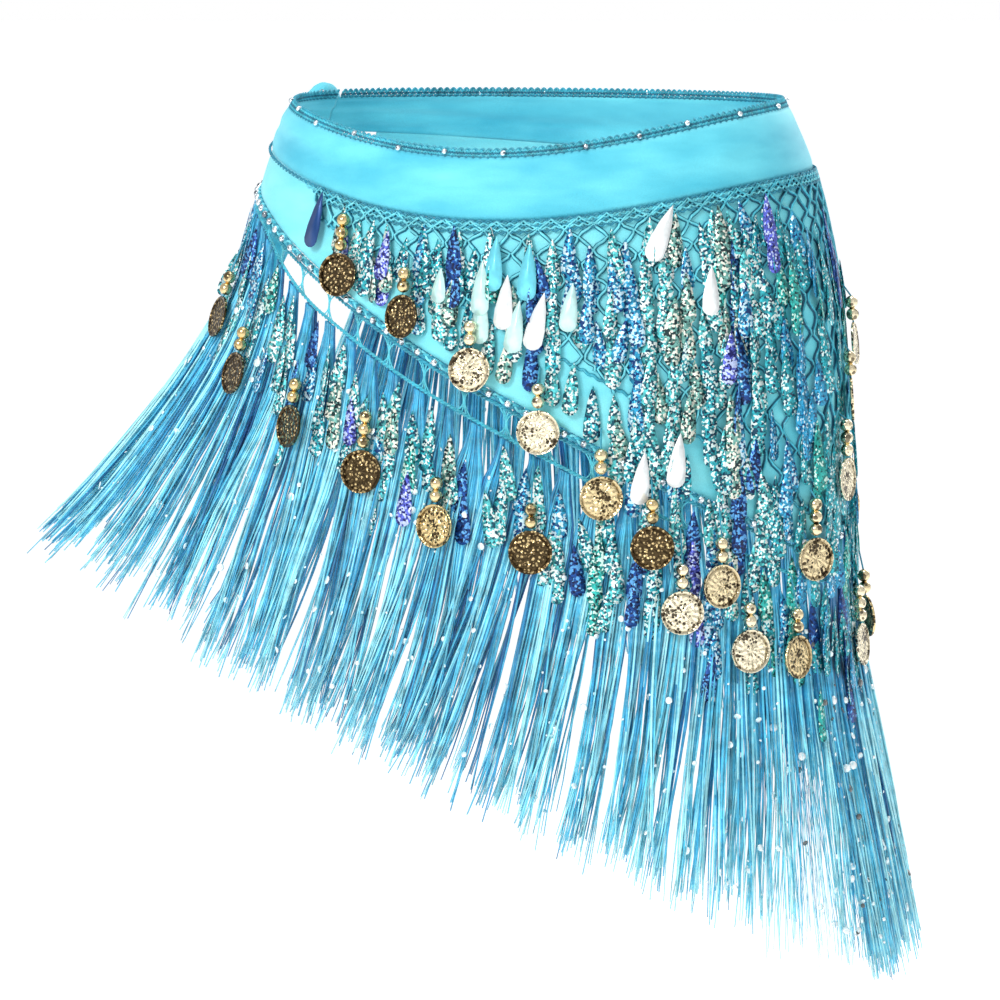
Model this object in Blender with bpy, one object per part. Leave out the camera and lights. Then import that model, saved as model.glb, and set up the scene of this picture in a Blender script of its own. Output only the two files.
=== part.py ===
"""A belly dance hip scarf, held in the open, hollow form that it takes round the hips.

The frame is the wearer's: +Z is up, the front faces -Y and the wearer's left is +X. The origin is the
middle of the waistband's ring. Lengths are in metres. Angles run round the hips in degrees: 0 at the front,
90 at the wearer's left, where the long point of the triangle hangs, and -103 at the tie.

Each piece of cloth is modelled flat, as it is cut: X is the angle, Y the height and Z the distance out from
the hip form. It is then wrapped round the form, point by point.
"""

import math
from dataclasses import dataclass

import bmesh
import bpy
import numpy as np
from mathutils import Matrix, Vector

# The plain oval form that the scarf is worn round.
HIP_HALF_WIDTH = 0.171
WAIST_TAPER = 0.045
TAPER_TOP = 0.030
TAPER_LENGTH = 0.065
DEPTH_TO_WIDTH = 0.74
ARC_LEVEL = -0.045
STEP = 5.0

# The waistband, which dips at the front and is gathered towards its tie.
RIM_HEIGHT = 0.019
FRONT_DIP = 0.024
DIP_ANGLE = 8.0
DIP_SPREAD = 50.0
BAND_DROP = 0.0375
TIE_ANGLE = -103.0
GATHER = 0.014
GATHER_SPREAD = 70.0
BAND_THICKNESS = 0.0020
TRIM_HEIGHT = 0.0050
TRIM_OUT = 0.0004
TRIM_THICKNESS = 0.0012
SCALLOP_DEPTH = 0.0016

# The triangular panel: its point, the slope of its two cut edges and where its ends stop.
TIP_ANGLE = 85.0
TIP_HEIGHT = -0.2215
TIP_ROUND = 0.025
EDGE_SLOPE = 0.55
PANEL_LEAST = 0.022
PANEL_BLEND = 0.006
PANEL_START = -85.0
PANEL_END = 240.0
PANEL_THICKNESS = 0.0015
FOLD_DEPTH = 0.0016
FOLD_RAMP = 0.080
FOLD_WAVES = 9.0

# The crochet net over the panel.
NET_START = -30.0
NET_END = 200.0
NET_INNER = 0.0018
NET_THICKNESS = 0.0010
NET_ROWS = 3
NET_SHARE_AT_TIP = 0.96
NET_SHARE_LOSS = 2.1
NET_LEAST_SHARE = 0.25

# The braid along the panel's cut edges, and the open ladder under it.
BRAID_HEIGHT = 0.0040
BRAID_THICKNESS = 0.0028
LADDER_HEIGHT = 0.0165
LADDER_LEAST = 0.0050
LADDER_RAMP_START = 0.070
LADDER_RAMP = 0.070
LADDER_BAR = 0.0024
LADDER_RAIL = 0.0022
LADDER_PITCH = 0.0208
LADDER_OUT = 0.0004
LADDER_THICKNESS = 0.0016
LEAST_OPENING = 0.0040

# The fringe: strips under the ladder, with the locks that hang from each.
FRINGE_START = -80.0
FRINGE_END = 236.0
FRINGE_NODES = 6
LOCKS_PER_NODE = 23
FRINGE_LENGTH = 0.194
END_LENGTHENING = 0.032
END_ANGLE = -80.0
END_SPREAD = 32.0
SIDE_LENGTHENING = 0.036
SIDE_ANGLE = 108.0
SIDE_SPREAD = 26.0
LENGTH_VARIATION = 0.07
QUICK_WAVE = 2.4
SLOW_WAVE = 0.83
STRIP_HEIGHT = 0.0032
STRIP_THICKNESS = 0.0020

# How the fringe flies: a swing towards one heading, and a flare away from the form.
SWING = 0.110
SWING_ANGLE = -80.0
SWING_SPREAD = 56.0
SWING_HEADING = Vector((-0.891, -0.454, 0.0))
FLARE = 0.010
SIDE_FLARE = 0.026
SIDE_FLARE_ANGLE = 108.0
SIDE_FLARE_SPREAD = 40.0
BACK_FLARE = 0.012
BACK_FLARE_ANGLE = 220.0
BACK_FLARE_SPREAD = 50.0
BEND_POWER = 1.40
BEND_STEPS = 24

# The coins and the gold beads that they hang from.
COIN_RADIUS = 0.0112
COIN_THICKNESS = 0.0014
COIN_SIDES = 10
BEAD_RADIUS = 0.0034
BEAD_PITCH = 0.0064
STRING_RADIUS = 0.0009
BEAD_WAIST = 0.0015
COIN_OUT = 0.0076
STRING_DROP = 0.004

# The knot and the two tie tails.
KNOT_HALF_WIDTH = 0.0125
KNOT_HALF_HEIGHT = 0.0145
KNOT_HALF_DEPTH = 0.0085
KNOT_LOBES = 3
KNOT_GROOVE = 0.09
KNOT_CLEARANCE = 0.0005
TAIL_THICKNESS = 0.0016
TAIL_COLUMNS = 8
TAIL_ROWS = 6
TAIL_PLEAT = 0.0022
TAIL_FAN_POWER = 0.7

SEAM_GAP = 0.0003
WIDE_GAP = 0.0005


@dataclass(frozen=True)
class Finish:
    """A material: its name, colour, roughness and metallic value."""

    name: str
    colour: tuple
    roughness: float
    metallic: float = 0.0


@dataclass(frozen=True)
class LockStage:
    """One stretch of a lock: how far down it ends, and its width there, both as shares."""

    reach: float
    width: float


@dataclass(frozen=True)
class NetDrop:
    """A coin hung from the panel: its root's rise over the panel's edge, and the coin's reach below that."""

    angle: float
    rise: float
    reach: float
    beads: int
    turn: float


@dataclass(frozen=True)
class LadderDrop:
    """A coin hung from the ladder's lower rail, over the fringe."""

    angle: float
    reach: float
    beads: int
    turn: float


@dataclass(frozen=True)
class Tail:
    """One free end of the waistband: its place under the knot, how far it leans out, its size and pleats."""

    name: str
    across: float
    deep: float
    lean: float
    length: float
    top_width: float
    low_width: float
    pleats: int


VELVET = Finish("turquoise_velvet", (0.10, 0.62, 0.76), 0.55)
PANEL_CLOTH = Finish("turquoise_panel_cloth", (0.16, 0.68, 0.80), 0.50)
CROCHET = Finish("crochet_yarn", (0.05, 0.45, 0.56), 0.65)
FRINGE_THREAD = Finish("fringe_thread", (0.06, 0.42, 0.66), 0.45)
GOLD = Finish("gold_coin_metal", (0.83, 0.66, 0.30), 0.25, 1.0)

LOCK_STAGES = (
    LockStage(reach=0.05, width=0.62),
    LockStage(reach=0.35, width=0.60),
    LockStage(reach=0.68, width=0.56),
    LockStage(reach=1.00, width=0.34),
)
TAILS = (
    Tail(
        name="tie_tail_long",
        across=0.002,
        deep=-0.002,
        lean=0.0,
        length=0.115,
        top_width=0.010,
        low_width=0.030,
        pleats=3,
    ),
    Tail(
        name="tie_tail_short",
        across=-0.002,
        deep=0.002,
        lean=0.012,
        length=0.085,
        top_width=0.009,
        low_width=0.026,
        pleats=2,
    ),
)
NET_DROPS = (
    NetDrop(angle=-19, rise=0.041, reach=0.033, beads=3, turn=10),
    NetDrop(angle=-4, rise=0.042, reach=0.031, beads=2, turn=-14),
    NetDrop(angle=9, rise=0.036, reach=0.031, beads=2, turn=0),
    NetDrop(angle=21, rise=0.025, reach=0.033, beads=2, turn=0),
    NetDrop(angle=32, rise=0.010, reach=0.035, beads=2, turn=12),
    NetDrop(angle=41, rise=-0.002, reach=0.036, beads=2, turn=-8),
    NetDrop(angle=54.5, rise=-0.002, reach=0.040, beads=2, turn=12),
    NetDrop(angle=77, rise=0.026, reach=0.036, beads=3, turn=-10),
    NetDrop(angle=92, rise=0.062, reach=0.034, beads=3, turn=0),
    NetDrop(angle=99, rise=0.094, reach=0.031, beads=2, turn=12),
    NetDrop(angle=110, rise=0.110, reach=0.031, beads=2, turn=-10),
    NetDrop(angle=124, rise=0.012, reach=0.037, beads=3, turn=8),
    NetDrop(angle=140, rise=0.024, reach=0.034, beads=2, turn=-12),
    NetDrop(angle=155, rise=0.034, reach=0.036, beads=3, turn=0),
    NetDrop(angle=170, rise=0.038, reach=0.032, beads=2, turn=12),
    NetDrop(angle=186, rise=0.040, reach=0.036, beads=3, turn=-8),
)
LADDER_DROPS = (
    LadderDrop(angle=-58, reach=0.058, beads=2, turn=8),
    LadderDrop(angle=-42, reach=0.068, beads=2, turn=0),
    LadderDrop(angle=-26, reach=0.062, beads=2, turn=-10),
    LadderDrop(angle=-10, reach=0.058, beads=3, turn=12),
    LadderDrop(angle=4, reach=0.062, beads=2, turn=-12),
    LadderDrop(angle=20, reach=0.050, beads=2, turn=12),
    LadderDrop(angle=46.5, reach=0.044, beads=2, turn=0),
    LadderDrop(angle=60.5, reach=0.049, beads=2, turn=0),
    LadderDrop(angle=71.5, reach=0.043, beads=2, turn=12),
    LadderDrop(angle=101, reach=0.048, beads=3, turn=-8),
    LadderDrop(angle=116, reach=0.054, beads=2, turn=10),
    LadderDrop(angle=132, reach=0.060, beads=3, turn=-12),
    LadderDrop(angle=148, reach=0.062, beads=2, turn=0),
    LadderDrop(angle=163, reach=0.060, beads=3, turn=10),
    LadderDrop(angle=179, reach=0.064, beads=2, turn=-10),
    LadderDrop(angle=196, reach=0.060, beads=2, turn=8),
    LadderDrop(angle=212, reach=0.058, beads=2, turn=0),
)


def bump(angle, centre, spread):
    """1 at the centre angle, fading out over the spread in degrees, the short way round."""
    away = (angle - centre + 180.0) % 360.0 - 180.0
    return math.exp(-((away / spread) ** 2))


def ramp(value):
    """0 below 0 and 1 above 1, with a smooth rise between."""
    share = min(max(value, 0.0), 1.0)
    return share * share * (3.0 - 2.0 * share)


def half_width(height):
    """Half the form's width at a height."""
    return HIP_HALF_WIDTH - WAIST_TAPER * math.exp((height - TAPER_TOP) / TAPER_LENGTH)


def outward(angle, height):
    """The form's outward normal at an angle and height."""
    turn = math.radians(angle)
    narrowing = WAIST_TAPER / TAPER_LENGTH * math.exp((height - TAPER_TOP) / TAPER_LENGTH)
    return Vector((math.sin(turn), -math.cos(turn) / DEPTH_TO_WIDTH, narrowing)).normalized()


def worn(angle, height, out):
    """A point on the form, moved out along its normal."""
    turn = math.radians(angle)
    width = half_width(height)
    place = Vector((width * math.sin(turn), -DEPTH_TO_WIDTH * width * math.cos(turn), height))
    return place + outward(angle, height) * out


def arc_table():
    """Angles round the form, and the distance round it to each, for looking up either from the other."""
    angles = np.linspace(TIE_ANGLE, TIE_ANGLE + 360.0, 1441)
    points = np.array([worn(angle, ARC_LEVEL, 0.0)[:] for angle in angles])
    steps = np.linalg.norm(np.diff(points, axis=0), axis=1)
    return angles, np.concatenate(([0.0], np.cumsum(steps)))


ARC_ANGLES, ARC_LENGTHS = arc_table()


def arc(angle):
    """The distance round the form from the tie to an angle."""
    return float(np.interp(angle, ARC_ANGLES, ARC_LENGTHS))


def angle_at(length):
    """The angle at a distance round the form from the tie."""
    return float(np.interp(length, ARC_LENGTHS, ARC_ANGLES))


def rim(angle):
    """The height of the waistband's top edge, trim included."""
    return RIM_HEIGHT - FRONT_DIP * bump(angle, DIP_ANGLE, DIP_SPREAD)


def band_top(angle):
    """The height of the plain band's top edge, under its trim."""
    return rim(angle) - TRIM_HEIGHT - SEAM_GAP


def seam(angle):
    """The height of the waistband's lower edge, where the panel starts."""
    return rim(angle) - BAND_DROP + GATHER * bump(angle, TIE_ANGLE, GATHER_SPREAD)


def panel_edge(angle):
    """The height of the panel's cut edge, which runs down to the point at the wearer's left."""
    away = arc(angle) - arc(TIP_ANGLE)
    slanted = TIP_HEIGHT + EDGE_SLOPE * math.hypot(away, TIP_ROUND)
    level = seam(angle) - PANEL_LEAST
    return -PANEL_BLEND * math.log(math.exp(-slanted / PANEL_BLEND) + math.exp(-level / PANEL_BLEND))


def panel_top(angle):
    """The height of the panel's top edge, under the waistband."""
    return seam(angle) - SEAM_GAP


def net_edge(angle):
    """The height of the crochet net's lower edge."""
    share = NET_SHARE_AT_TIP - NET_SHARE_LOSS * abs(arc(angle) - arc(TIP_ANGLE))
    return panel_top(angle) + (panel_edge(angle) - panel_top(angle)) * max(share, NET_LEAST_SHARE)


def braid_edge(angle):
    """The height of the braid's lower edge."""
    return panel_edge(angle) - SEAM_GAP - BRAID_HEIGHT


def ladder_height(angle):
    """The ladder's height, which is least at the two ends of the panel."""
    from_start = arc(angle) - arc(PANEL_START)
    from_end = arc(PANEL_END) - arc(angle)
    share = ramp((min(from_start, from_end) - LADDER_RAMP_START) / LADDER_RAMP)
    return LADDER_LEAST + (LADDER_HEIGHT - LADDER_LEAST) * share


def ladder_edge(angle):
    """The height of the ladder's lower edge."""
    return braid_edge(angle) - WIDE_GAP - ladder_height(angle)


def fringe_root(angle):
    """The height of the fringe strips' top edge."""
    return ladder_edge(angle) - WIDE_GAP


def fold(angle, height):
    """How far a soft fold lifts the panel, and all that lies on it, away from the form."""
    share = ramp((seam(angle) - height) / FOLD_RAMP)
    return FOLD_DEPTH * share * (1.0 + math.cos(math.radians(FOLD_WAVES * angle)))


def fly(angle):
    """How far, and which way, a full length of fringe is carried sideways at an angle."""
    flare = FLARE + SIDE_FLARE * bump(angle, SIDE_FLARE_ANGLE, SIDE_FLARE_SPREAD)
    flare += BACK_FLARE * bump(angle, BACK_FLARE_ANGLE, BACK_FLARE_SPREAD)
    away = outward(angle, fringe_root(angle))
    away.z = 0.0
    return SWING_HEADING * (SWING * bump(angle, SWING_ANGLE, SWING_SPREAD)) + away.normalized() * flare


def fringe_length(angle):
    """The fringe's full length at an angle: it was cut longer at its front end and at the hip."""
    extra = END_LENGTHENING * bump(angle, END_ANGLE, END_SPREAD)
    return FRINGE_LENGTH + extra + SIDE_LENGTHENING * bump(angle, SIDE_ANGLE, SIDE_SPREAD)


def hang(angle, depth):
    """The way from the root of a flying lock to the point that lies a depth along it."""
    carried = fly(angle)
    share = depth / fringe_length(angle)
    drop = 0.0
    for step in range(BEND_STEPS):
        start = (share * step / BEND_STEPS) ** BEND_POWER
        end = (share * (step + 1) / BEND_STEPS) ** BEND_POWER
        sideways = carried.length * (end - start)
        drop += math.sqrt(max((depth / BEND_STEPS) ** 2 - sideways**2, 0.0))
    return carried * share**BEND_POWER - Vector((0.0, 0.0, drop))


def stations(start, end):
    """Angles from start to end, a step apart."""
    count = round((end - start) / STEP)
    return [start + (end - start) * index / count for index in range(count + 1)]


def spread(top, bottom, rows):
    """Heights from a top edge to a bottom edge, as a function of the angle."""

    def heights(angle):
        upper = top(angle)
        lower = bottom(angle)
        return [upper + (lower - upper) * row / rows for row in range(rows + 1)]

    return heights


def flat_sheet(angles, heights):
    """A flat grid of cloth, with a column at each angle and its rows at that angle's heights."""
    columns = len(angles) - 1
    rows = len(heights(angles[0])) - 1
    sheet = bmesh.new()
    bmesh.ops.create_grid(sheet, x_segments=columns, y_segments=rows, size=0.5)
    for vert in sheet.verts:
        angle = angles[round((vert.co.x + 0.5) * columns)]
        row = round((0.5 - vert.co.y) * rows)
        vert.co = (angle, heights(angle)[row], 0.0)
    return sheet


def thicken(sheet, inner, thickness):
    """Give a flat sheet its wall, from an inner distance outwards."""
    for vert in sheet.verts:
        vert.co.z = inner
    grown = bmesh.ops.extrude_face_region(sheet, geom=sheet.faces[:], use_keep_orig=True)
    for vert in grown["geom"]:
        if isinstance(vert, bmesh.types.BMVert):
            vert.co.z += thickness
    bmesh.ops.recalc_face_normals(sheet, faces=sheet.faces[:])


def wrap(sheet):
    """Wrap flat cloth round the form, with the panel's folds."""
    for vert in sheet.verts:
        angle, height, out = vert.co
        vert.co = worn(angle, height, out + fold(angle, height))


def material(finish):
    """The Principled material of a finish."""
    made = bpy.data.materials.new(finish.name)
    made.use_nodes = True
    shader = made.node_tree.nodes["Principled BSDF"]
    shader.inputs["Base Color"].default_value = (*finish.colour, 1.0)
    shader.inputs["Roughness"].default_value = finish.roughness
    shader.inputs["Metallic"].default_value = finish.metallic
    return made


def add_object(name, shape, finish, smooth_angle=40.0):
    """Turn a bmesh into a named object with its own material."""
    mesh = bpy.data.meshes.new(name)
    shape.to_mesh(mesh)
    shape.free()
    mesh.materials.append(material(finish))
    mesh.shade_smooth()
    mesh.set_sharp_from_angle(angle=math.radians(smooth_angle))
    made = bpy.data.objects.new(name, mesh)
    bpy.context.scene.collection.objects.link(made)
    return made


def cloth_wall(name, angles, heights, inner, thickness, finish):
    """One cut piece of cloth, wrapped round the form as a wall."""
    sheet = flat_sheet(angles, heights)
    thicken(sheet, inner, thickness)
    wrap(sheet)
    return add_object(name, sheet, finish)


def build_waistband():
    """The plain band, whose two ends meet under the knot."""
    half_gap = math.degrees(SEAM_GAP / HIP_HALF_WIDTH)
    angles = stations(TIE_ANGLE + half_gap, TIE_ANGLE + 360.0 - half_gap)
    heights = spread(band_top, seam, 2)
    cloth_wall("waistband", angles, heights, 0.0, BAND_THICKNESS, VELVET)


def build_waist_trim():
    """The crochet edging on the band's top edge, with a scallop at every second station."""
    half_gap = math.degrees(SEAM_GAP / HIP_HALF_WIDTH)
    angles = stations(TIE_ANGLE + half_gap, TIE_ANGLE + 360.0 - half_gap)

    def heights(angle):
        valley = SCALLOP_DEPTH * (angles.index(angle) % 2)
        return [rim(angle) - valley, rim(angle) - TRIM_HEIGHT]

    cloth_wall("waist_trim", angles, heights, TRIM_OUT, TRIM_THICKNESS, CROCHET)


def build_hip_panel():
    """The triangle of cloth under the band."""
    net_heights = spread(panel_top, net_edge, NET_ROWS)

    def heights(angle):
        return [*net_heights(angle), panel_edge(angle)]

    cloth_wall("hip_panel", stations(PANEL_START, PANEL_END), heights, 0.0, PANEL_THICKNESS, PANEL_CLOTH)


def build_crochet_net():
    """The diamond net that lies on the panel, as one thin wall."""
    heights = spread(panel_top, net_edge, NET_ROWS)
    cloth_wall("crochet_net", stations(NET_START, NET_END), heights, NET_INNER, NET_THICKNESS, CROCHET)


def build_edge_braid():
    """The beaded braid along the panel's cut edges."""
    heights = spread(lambda angle: panel_edge(angle) - SEAM_GAP, braid_edge, 1)
    cloth_wall("edge_braid", stations(PANEL_START, PANEL_END), heights, 0.0, BRAID_THICKNESS, CROCHET)


def build_ladder(name, start, end):
    """One side of the open crochet ladder: two rails, with bars across and openings between them."""
    pitches = round((arc(end) - arc(start) - LADDER_BAR) / LADDER_PITCH)
    pitch = (arc(end) - arc(start) - LADDER_BAR) / pitches
    lengths = [arc(start)]
    for index in range(pitches):
        bar_end = arc(start) + index * pitch + LADDER_BAR
        lengths += [bar_end, bar_end + (pitch - LADDER_BAR) / 2, bar_end + pitch - LADDER_BAR]
    lengths.append(arc(end))
    angles = [angle_at(length) for length in lengths]

    def heights(angle):
        top = braid_edge(angle) - WIDE_GAP
        bottom = ladder_edge(angle)
        return [top, top - LADDER_RAIL, bottom + LADDER_RAIL, bottom]

    sheet = flat_sheet(angles, heights)
    openings = []
    for face in sheet.faces:
        middle = face.calc_center_median()
        clear = ladder_height(middle.x) - 2 * LADDER_RAIL
        half_way = (braid_edge(middle.x) - WIDE_GAP + ladder_edge(middle.x)) / 2
        in_bay = (arc(middle.x) - arc(start)) % pitch > LADDER_BAR
        between_rails = abs(middle.y - half_way) < LADDER_RAIL
        if in_bay and between_rails and clear > LEAST_OPENING:
            openings.append(face)
    bmesh.ops.delete(sheet, geom=openings, context="FACES")
    thicken(sheet, LADDER_OUT, LADDER_THICKNESS)
    wrap(sheet)
    add_object(name, sheet, CROCHET)


def lock_length(angle, index):
    """The length of a lock, which differs a little from its neighbours'."""
    wave = (math.sin(index * QUICK_WAVE) + math.sin(index * SLOW_WAVE)) / 2.0
    return fringe_length(angle) * (1.0 - LENGTH_VARIATION * (1.0 + wave) / 2.0)


def build_fringe(number):
    """One strip with its locks: each lock grows from its own stretch of the strip's lower face."""
    whole = arc(FRINGE_END) - arc(FRINGE_START)
    first = arc(FRINGE_START) + whole * number / FRINGE_NODES
    pitch = (whole / FRINGE_NODES - WIDE_GAP) / LOCKS_PER_NODE
    angles = [angle_at(first + pitch * index) for index in range(LOCKS_PER_NODE + 1)]
    strip = flat_sheet(angles, lambda angle: [0.0, -STRIP_HEIGHT])
    thicken(strip, 0.0, STRIP_THICKNESS)
    ends = [face for face in strip.faces if face.calc_center_median().y < -STRIP_HEIGHT + SEAM_GAP]
    ends.sort(key=lambda face: face.calc_center_median().x)
    middles = [face.calc_center_median() for face in ends]
    for stage in LOCK_STAGES:
        grown = bmesh.ops.extrude_discrete_faces(strip, faces=ends)
        ends = sorted(grown["faces"], key=lambda face: face.calc_center_median().x)
        for index, face in enumerate(ends):
            length = lock_length(middles[index].x, number * LOCKS_PER_NODE + index)
            half_span = (angles[index + 1] - angles[index]) / 2
            for vert in face.verts:
                side = 1.0 if vert.co.x > middles[index].x else -1.0
                outer = 1.0 if vert.co.z > middles[index].z else -1.0
                vert.co.x = middles[index].x + side * half_span * stage.width
                vert.co.z = middles[index].z + outer * STRIP_THICKNESS / 2 * stage.width
                vert.co.y = -STRIP_HEIGHT - length * stage.reach
    for vert in strip.verts:
        angle, height, out = vert.co
        root = worn(angle, fringe_root(angle), out + fold(angle, fringe_root(angle)))
        index = min(int((arc(angle) - first) / pitch), LOCKS_PER_NODE - 1)
        middle = middles[index].x if height < -STRIP_HEIGHT - SEAM_GAP else angle
        vert.co = root + hang(middle, -height)
    add_object(f"fringe_{number + 1}", strip, FRINGE_THREAD)


def bead_string(beads, root):
    """A coin with its beads: the coin's middle is the origin, its face looks along Y and its string up +Z."""
    shape = bmesh.new()
    lying = Matrix.Rotation(math.radians(90.0), 4, "X") @ Matrix.Rotation(math.pi / COIN_SIDES, 4, "Z")
    bmesh.ops.create_circle(shape, cap_ends=True, radius=COIN_RADIUS, segments=COIN_SIDES, matrix=lying)
    bmesh.ops.translate(shape, verts=shape.verts[:], vec=(0.0, -COIN_THICKNESS / 2, 0.0))
    grown = bmesh.ops.extrude_face_region(shape, geom=shape.faces[:], use_keep_orig=True)
    face_verts = [item for item in grown["geom"] if isinstance(item, bmesh.types.BMVert)]
    bmesh.ops.translate(shape, verts=face_verts, vec=(0.0, COIN_THICKNESS, 0.0))
    sides = [face for face in shape.faces if len(face.verts) == 4]
    top = max(sides, key=lambda face: face.calc_center_median().z)
    for edge in sorted(top.edges, key=lambda edge: -edge.calc_length())[:2]:
        bmesh.utils.edge_split(edge, edge.verts[0], 0.5)
    level = COIN_RADIUS * math.cos(math.pi / COIN_SIDES) + BEAD_PITCH / 4
    rings = [(Vector((0.0, 0.0, level)), STRING_RADIUS)]
    for bead in range(beads):
        waist = BEAD_WAIST if bead < beads - 1 else STRING_RADIUS
        rings.append((Vector((0.0, 0.0, level + BEAD_PITCH * (bead + 0.5))), BEAD_RADIUS))
        rings.append((Vector((0.0, 0.0, level + BEAD_PITCH * (bead + 1.0))), waist))
    rings.append((root, STRING_RADIUS))
    for middle, radius in rings:
        grown = bmesh.ops.extrude_discrete_faces(shape, faces=[top])
        top = grown["faces"][0]
        for vert in top.verts:
            column = 0 if abs(vert.co.x) < STRING_RADIUS / 4 else math.copysign(1, vert.co.x)
            front = math.copysign(1, vert.co.y)
            turn = math.radians(front * (90 - 60 * column))
            vert.co = middle + Vector((radius * math.cos(turn), radius * math.sin(turn), 0.0))
    bmesh.ops.recalc_face_normals(shape, faces=shape.faces[:])
    return shape


def over_cloth(angle, height, out):
    """A point over the cloth at an angle and height, or over the flying fringe below its root."""
    depth = max(fringe_root(angle) - height, 0.0)
    lowest = max(height, fringe_root(angle))
    return worn(angle, lowest, out + fold(angle, lowest)) + hang(angle, depth)


def build_drop(name, drop, height, cloth_out):
    """Hang one coin on its beads, clear of the cloth, from a root on the cloth's outer side."""
    root = over_cloth(drop.angle, height, cloth_out + STRING_RADIUS + SEAM_GAP)
    coin = over_cloth(drop.angle, height - drop.reach, COIN_OUT)
    up = (over_cloth(drop.angle, height - STRING_DROP, COIN_OUT) - coin).normalized()
    side = up.cross(outward(drop.angle, height)).normalized()
    frame = Matrix((side, up.cross(side), up)).transposed()
    frame = (frame @ Matrix.Rotation(math.radians(drop.turn), 3, "Z")).to_4x4()
    place = Matrix.Translation(coin) @ frame
    made = add_object(name, bead_string(drop.beads, place.inverted() @ root), GOLD)
    made.matrix_world = place


def build_net_drop(name, drop):
    """Hang a coin from the net, the panel or the braid."""
    height = panel_edge(drop.angle) + drop.rise
    cloth_out = PANEL_THICKNESS
    if height > net_edge(drop.angle):
        cloth_out = NET_INNER + NET_THICKNESS
    if drop.rise < 0.0:
        cloth_out = BRAID_THICKNESS
    build_drop(name, drop, height, cloth_out)


def build_ladder_drop(name, drop):
    """Hang a coin from the ladder's lower rail."""
    build_drop(name, drop, ladder_edge(drop.angle) + LADDER_RAIL / 2, LADDER_OUT + LADDER_THICKNESS)


def knot_height():
    """The height of the knot's middle, half way down the gathered band."""
    return (band_top(TIE_ANGLE) + seam(TIE_ANGLE)) / 2


def knot_middle():
    """The middle of the knot, which sits on the waistband over its two ends."""
    return worn(TIE_ANGLE, knot_height(), BAND_THICKNESS + KNOT_CLEARANCE + KNOT_HALF_DEPTH)


def knot_frame():
    """The knot's own axes: along the band, up the form, and away from it."""
    away = outward(TIE_ANGLE, knot_height())
    along = Vector((0.0, 0.0, 1.0)).cross(away).normalized()
    return along, away.cross(along), away


def build_tie_knot():
    """The knot: an oval with soft grooves between its turns of cloth."""
    along, up, away = knot_frame()
    middle = knot_middle()
    shape = bmesh.new()
    bmesh.ops.create_uvsphere(shape, u_segments=14, v_segments=9, radius=1.0)
    for vert in shape.verts:
        x, y, z = vert.co
        twist = math.atan2(y, x) + 0.8 * z
        groove = 1.0 - KNOT_GROOVE * (1.0 - math.cos(KNOT_LOBES * twist)) / 2 * math.hypot(x, y)
        across = along * (x * KNOT_HALF_WIDTH) + away * (y * KNOT_HALF_DEPTH)
        vert.co = middle + (across + up * (z * KNOT_HALF_HEIGHT)) * groove
    bmesh.ops.recalc_face_normals(shape, faces=shape.faces[:])
    add_object("tie_knot", shape, VELVET)


def build_tail(tail):
    """One pleated tie tail, which leaves the underside of the knot and flies as the fringe does."""
    along, up, away = knot_frame()
    root = knot_middle() + along * tail.across + away * tail.deep - up * (KNOT_HALF_HEIGHT + SEAM_GAP)
    sheet = bmesh.new()
    bmesh.ops.create_grid(sheet, x_segments=TAIL_COLUMNS, y_segments=TAIL_ROWS, size=0.5)
    thicken(sheet, -TAIL_THICKNESS / 2, TAIL_THICKNESS)
    for vert in sheet.verts:
        across, height, deep = vert.co
        down = 0.5 - height
        width = tail.top_width + (tail.low_width - tail.top_width) * down**TAIL_FAN_POWER
        pleat = TAIL_PLEAT * down * math.sin(across * math.pi * tail.pleats)
        place = root + hang(TIE_ANGLE, tail.length * down)
        vert.co = place + along * (across * width) + away * (deep + pleat + tail.lean * down)
    add_object(tail.name, sheet, VELVET)


def build_scarf():
    """Build every piece."""
    build_waistband()
    build_waist_trim()
    build_hip_panel()
    build_crochet_net()
    build_edge_braid()
    half_gap = math.degrees(WIDE_GAP / HIP_HALF_WIDTH)
    build_ladder("ladder_front", PANEL_START, TIP_ANGLE - half_gap)
    build_ladder("ladder_back", TIP_ANGLE + half_gap, PANEL_END)
    for number in range(FRINGE_NODES):
        build_fringe(number)
    build_tie_knot()
    for tail in TAILS:
        build_tail(tail)
    for number, drop in enumerate(NET_DROPS):
        build_net_drop(f"net_coin_{number + 1:02d}", drop)
    for number, drop in enumerate(LADDER_DROPS):
        build_ladder_drop(f"fringe_coin_{number + 1:02d}", drop)


for leftover in list(bpy.data.objects):
    bpy.data.objects.remove(leftover)
build_scarf()
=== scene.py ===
"""Looks of a belly dance hip scarf, dressed over its solids in the same frame.

Lengths are in metres. +Z is up, the front faces -Y and the wearer's left is +X. Angles run round the hips in
degrees: 0 at the front, 90 at the wearer's left, where the long point hangs, and -103 at the tie. Each piece of
cloth is laid out flat, as distance round the hips and height, and then worn on the oval hip form.
"""

import logging
import math
from dataclasses import astuple, dataclass, field
from enum import Enum

import bmesh
import bpy
import numpy as np
from mathutils import Matrix, Vector


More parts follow.
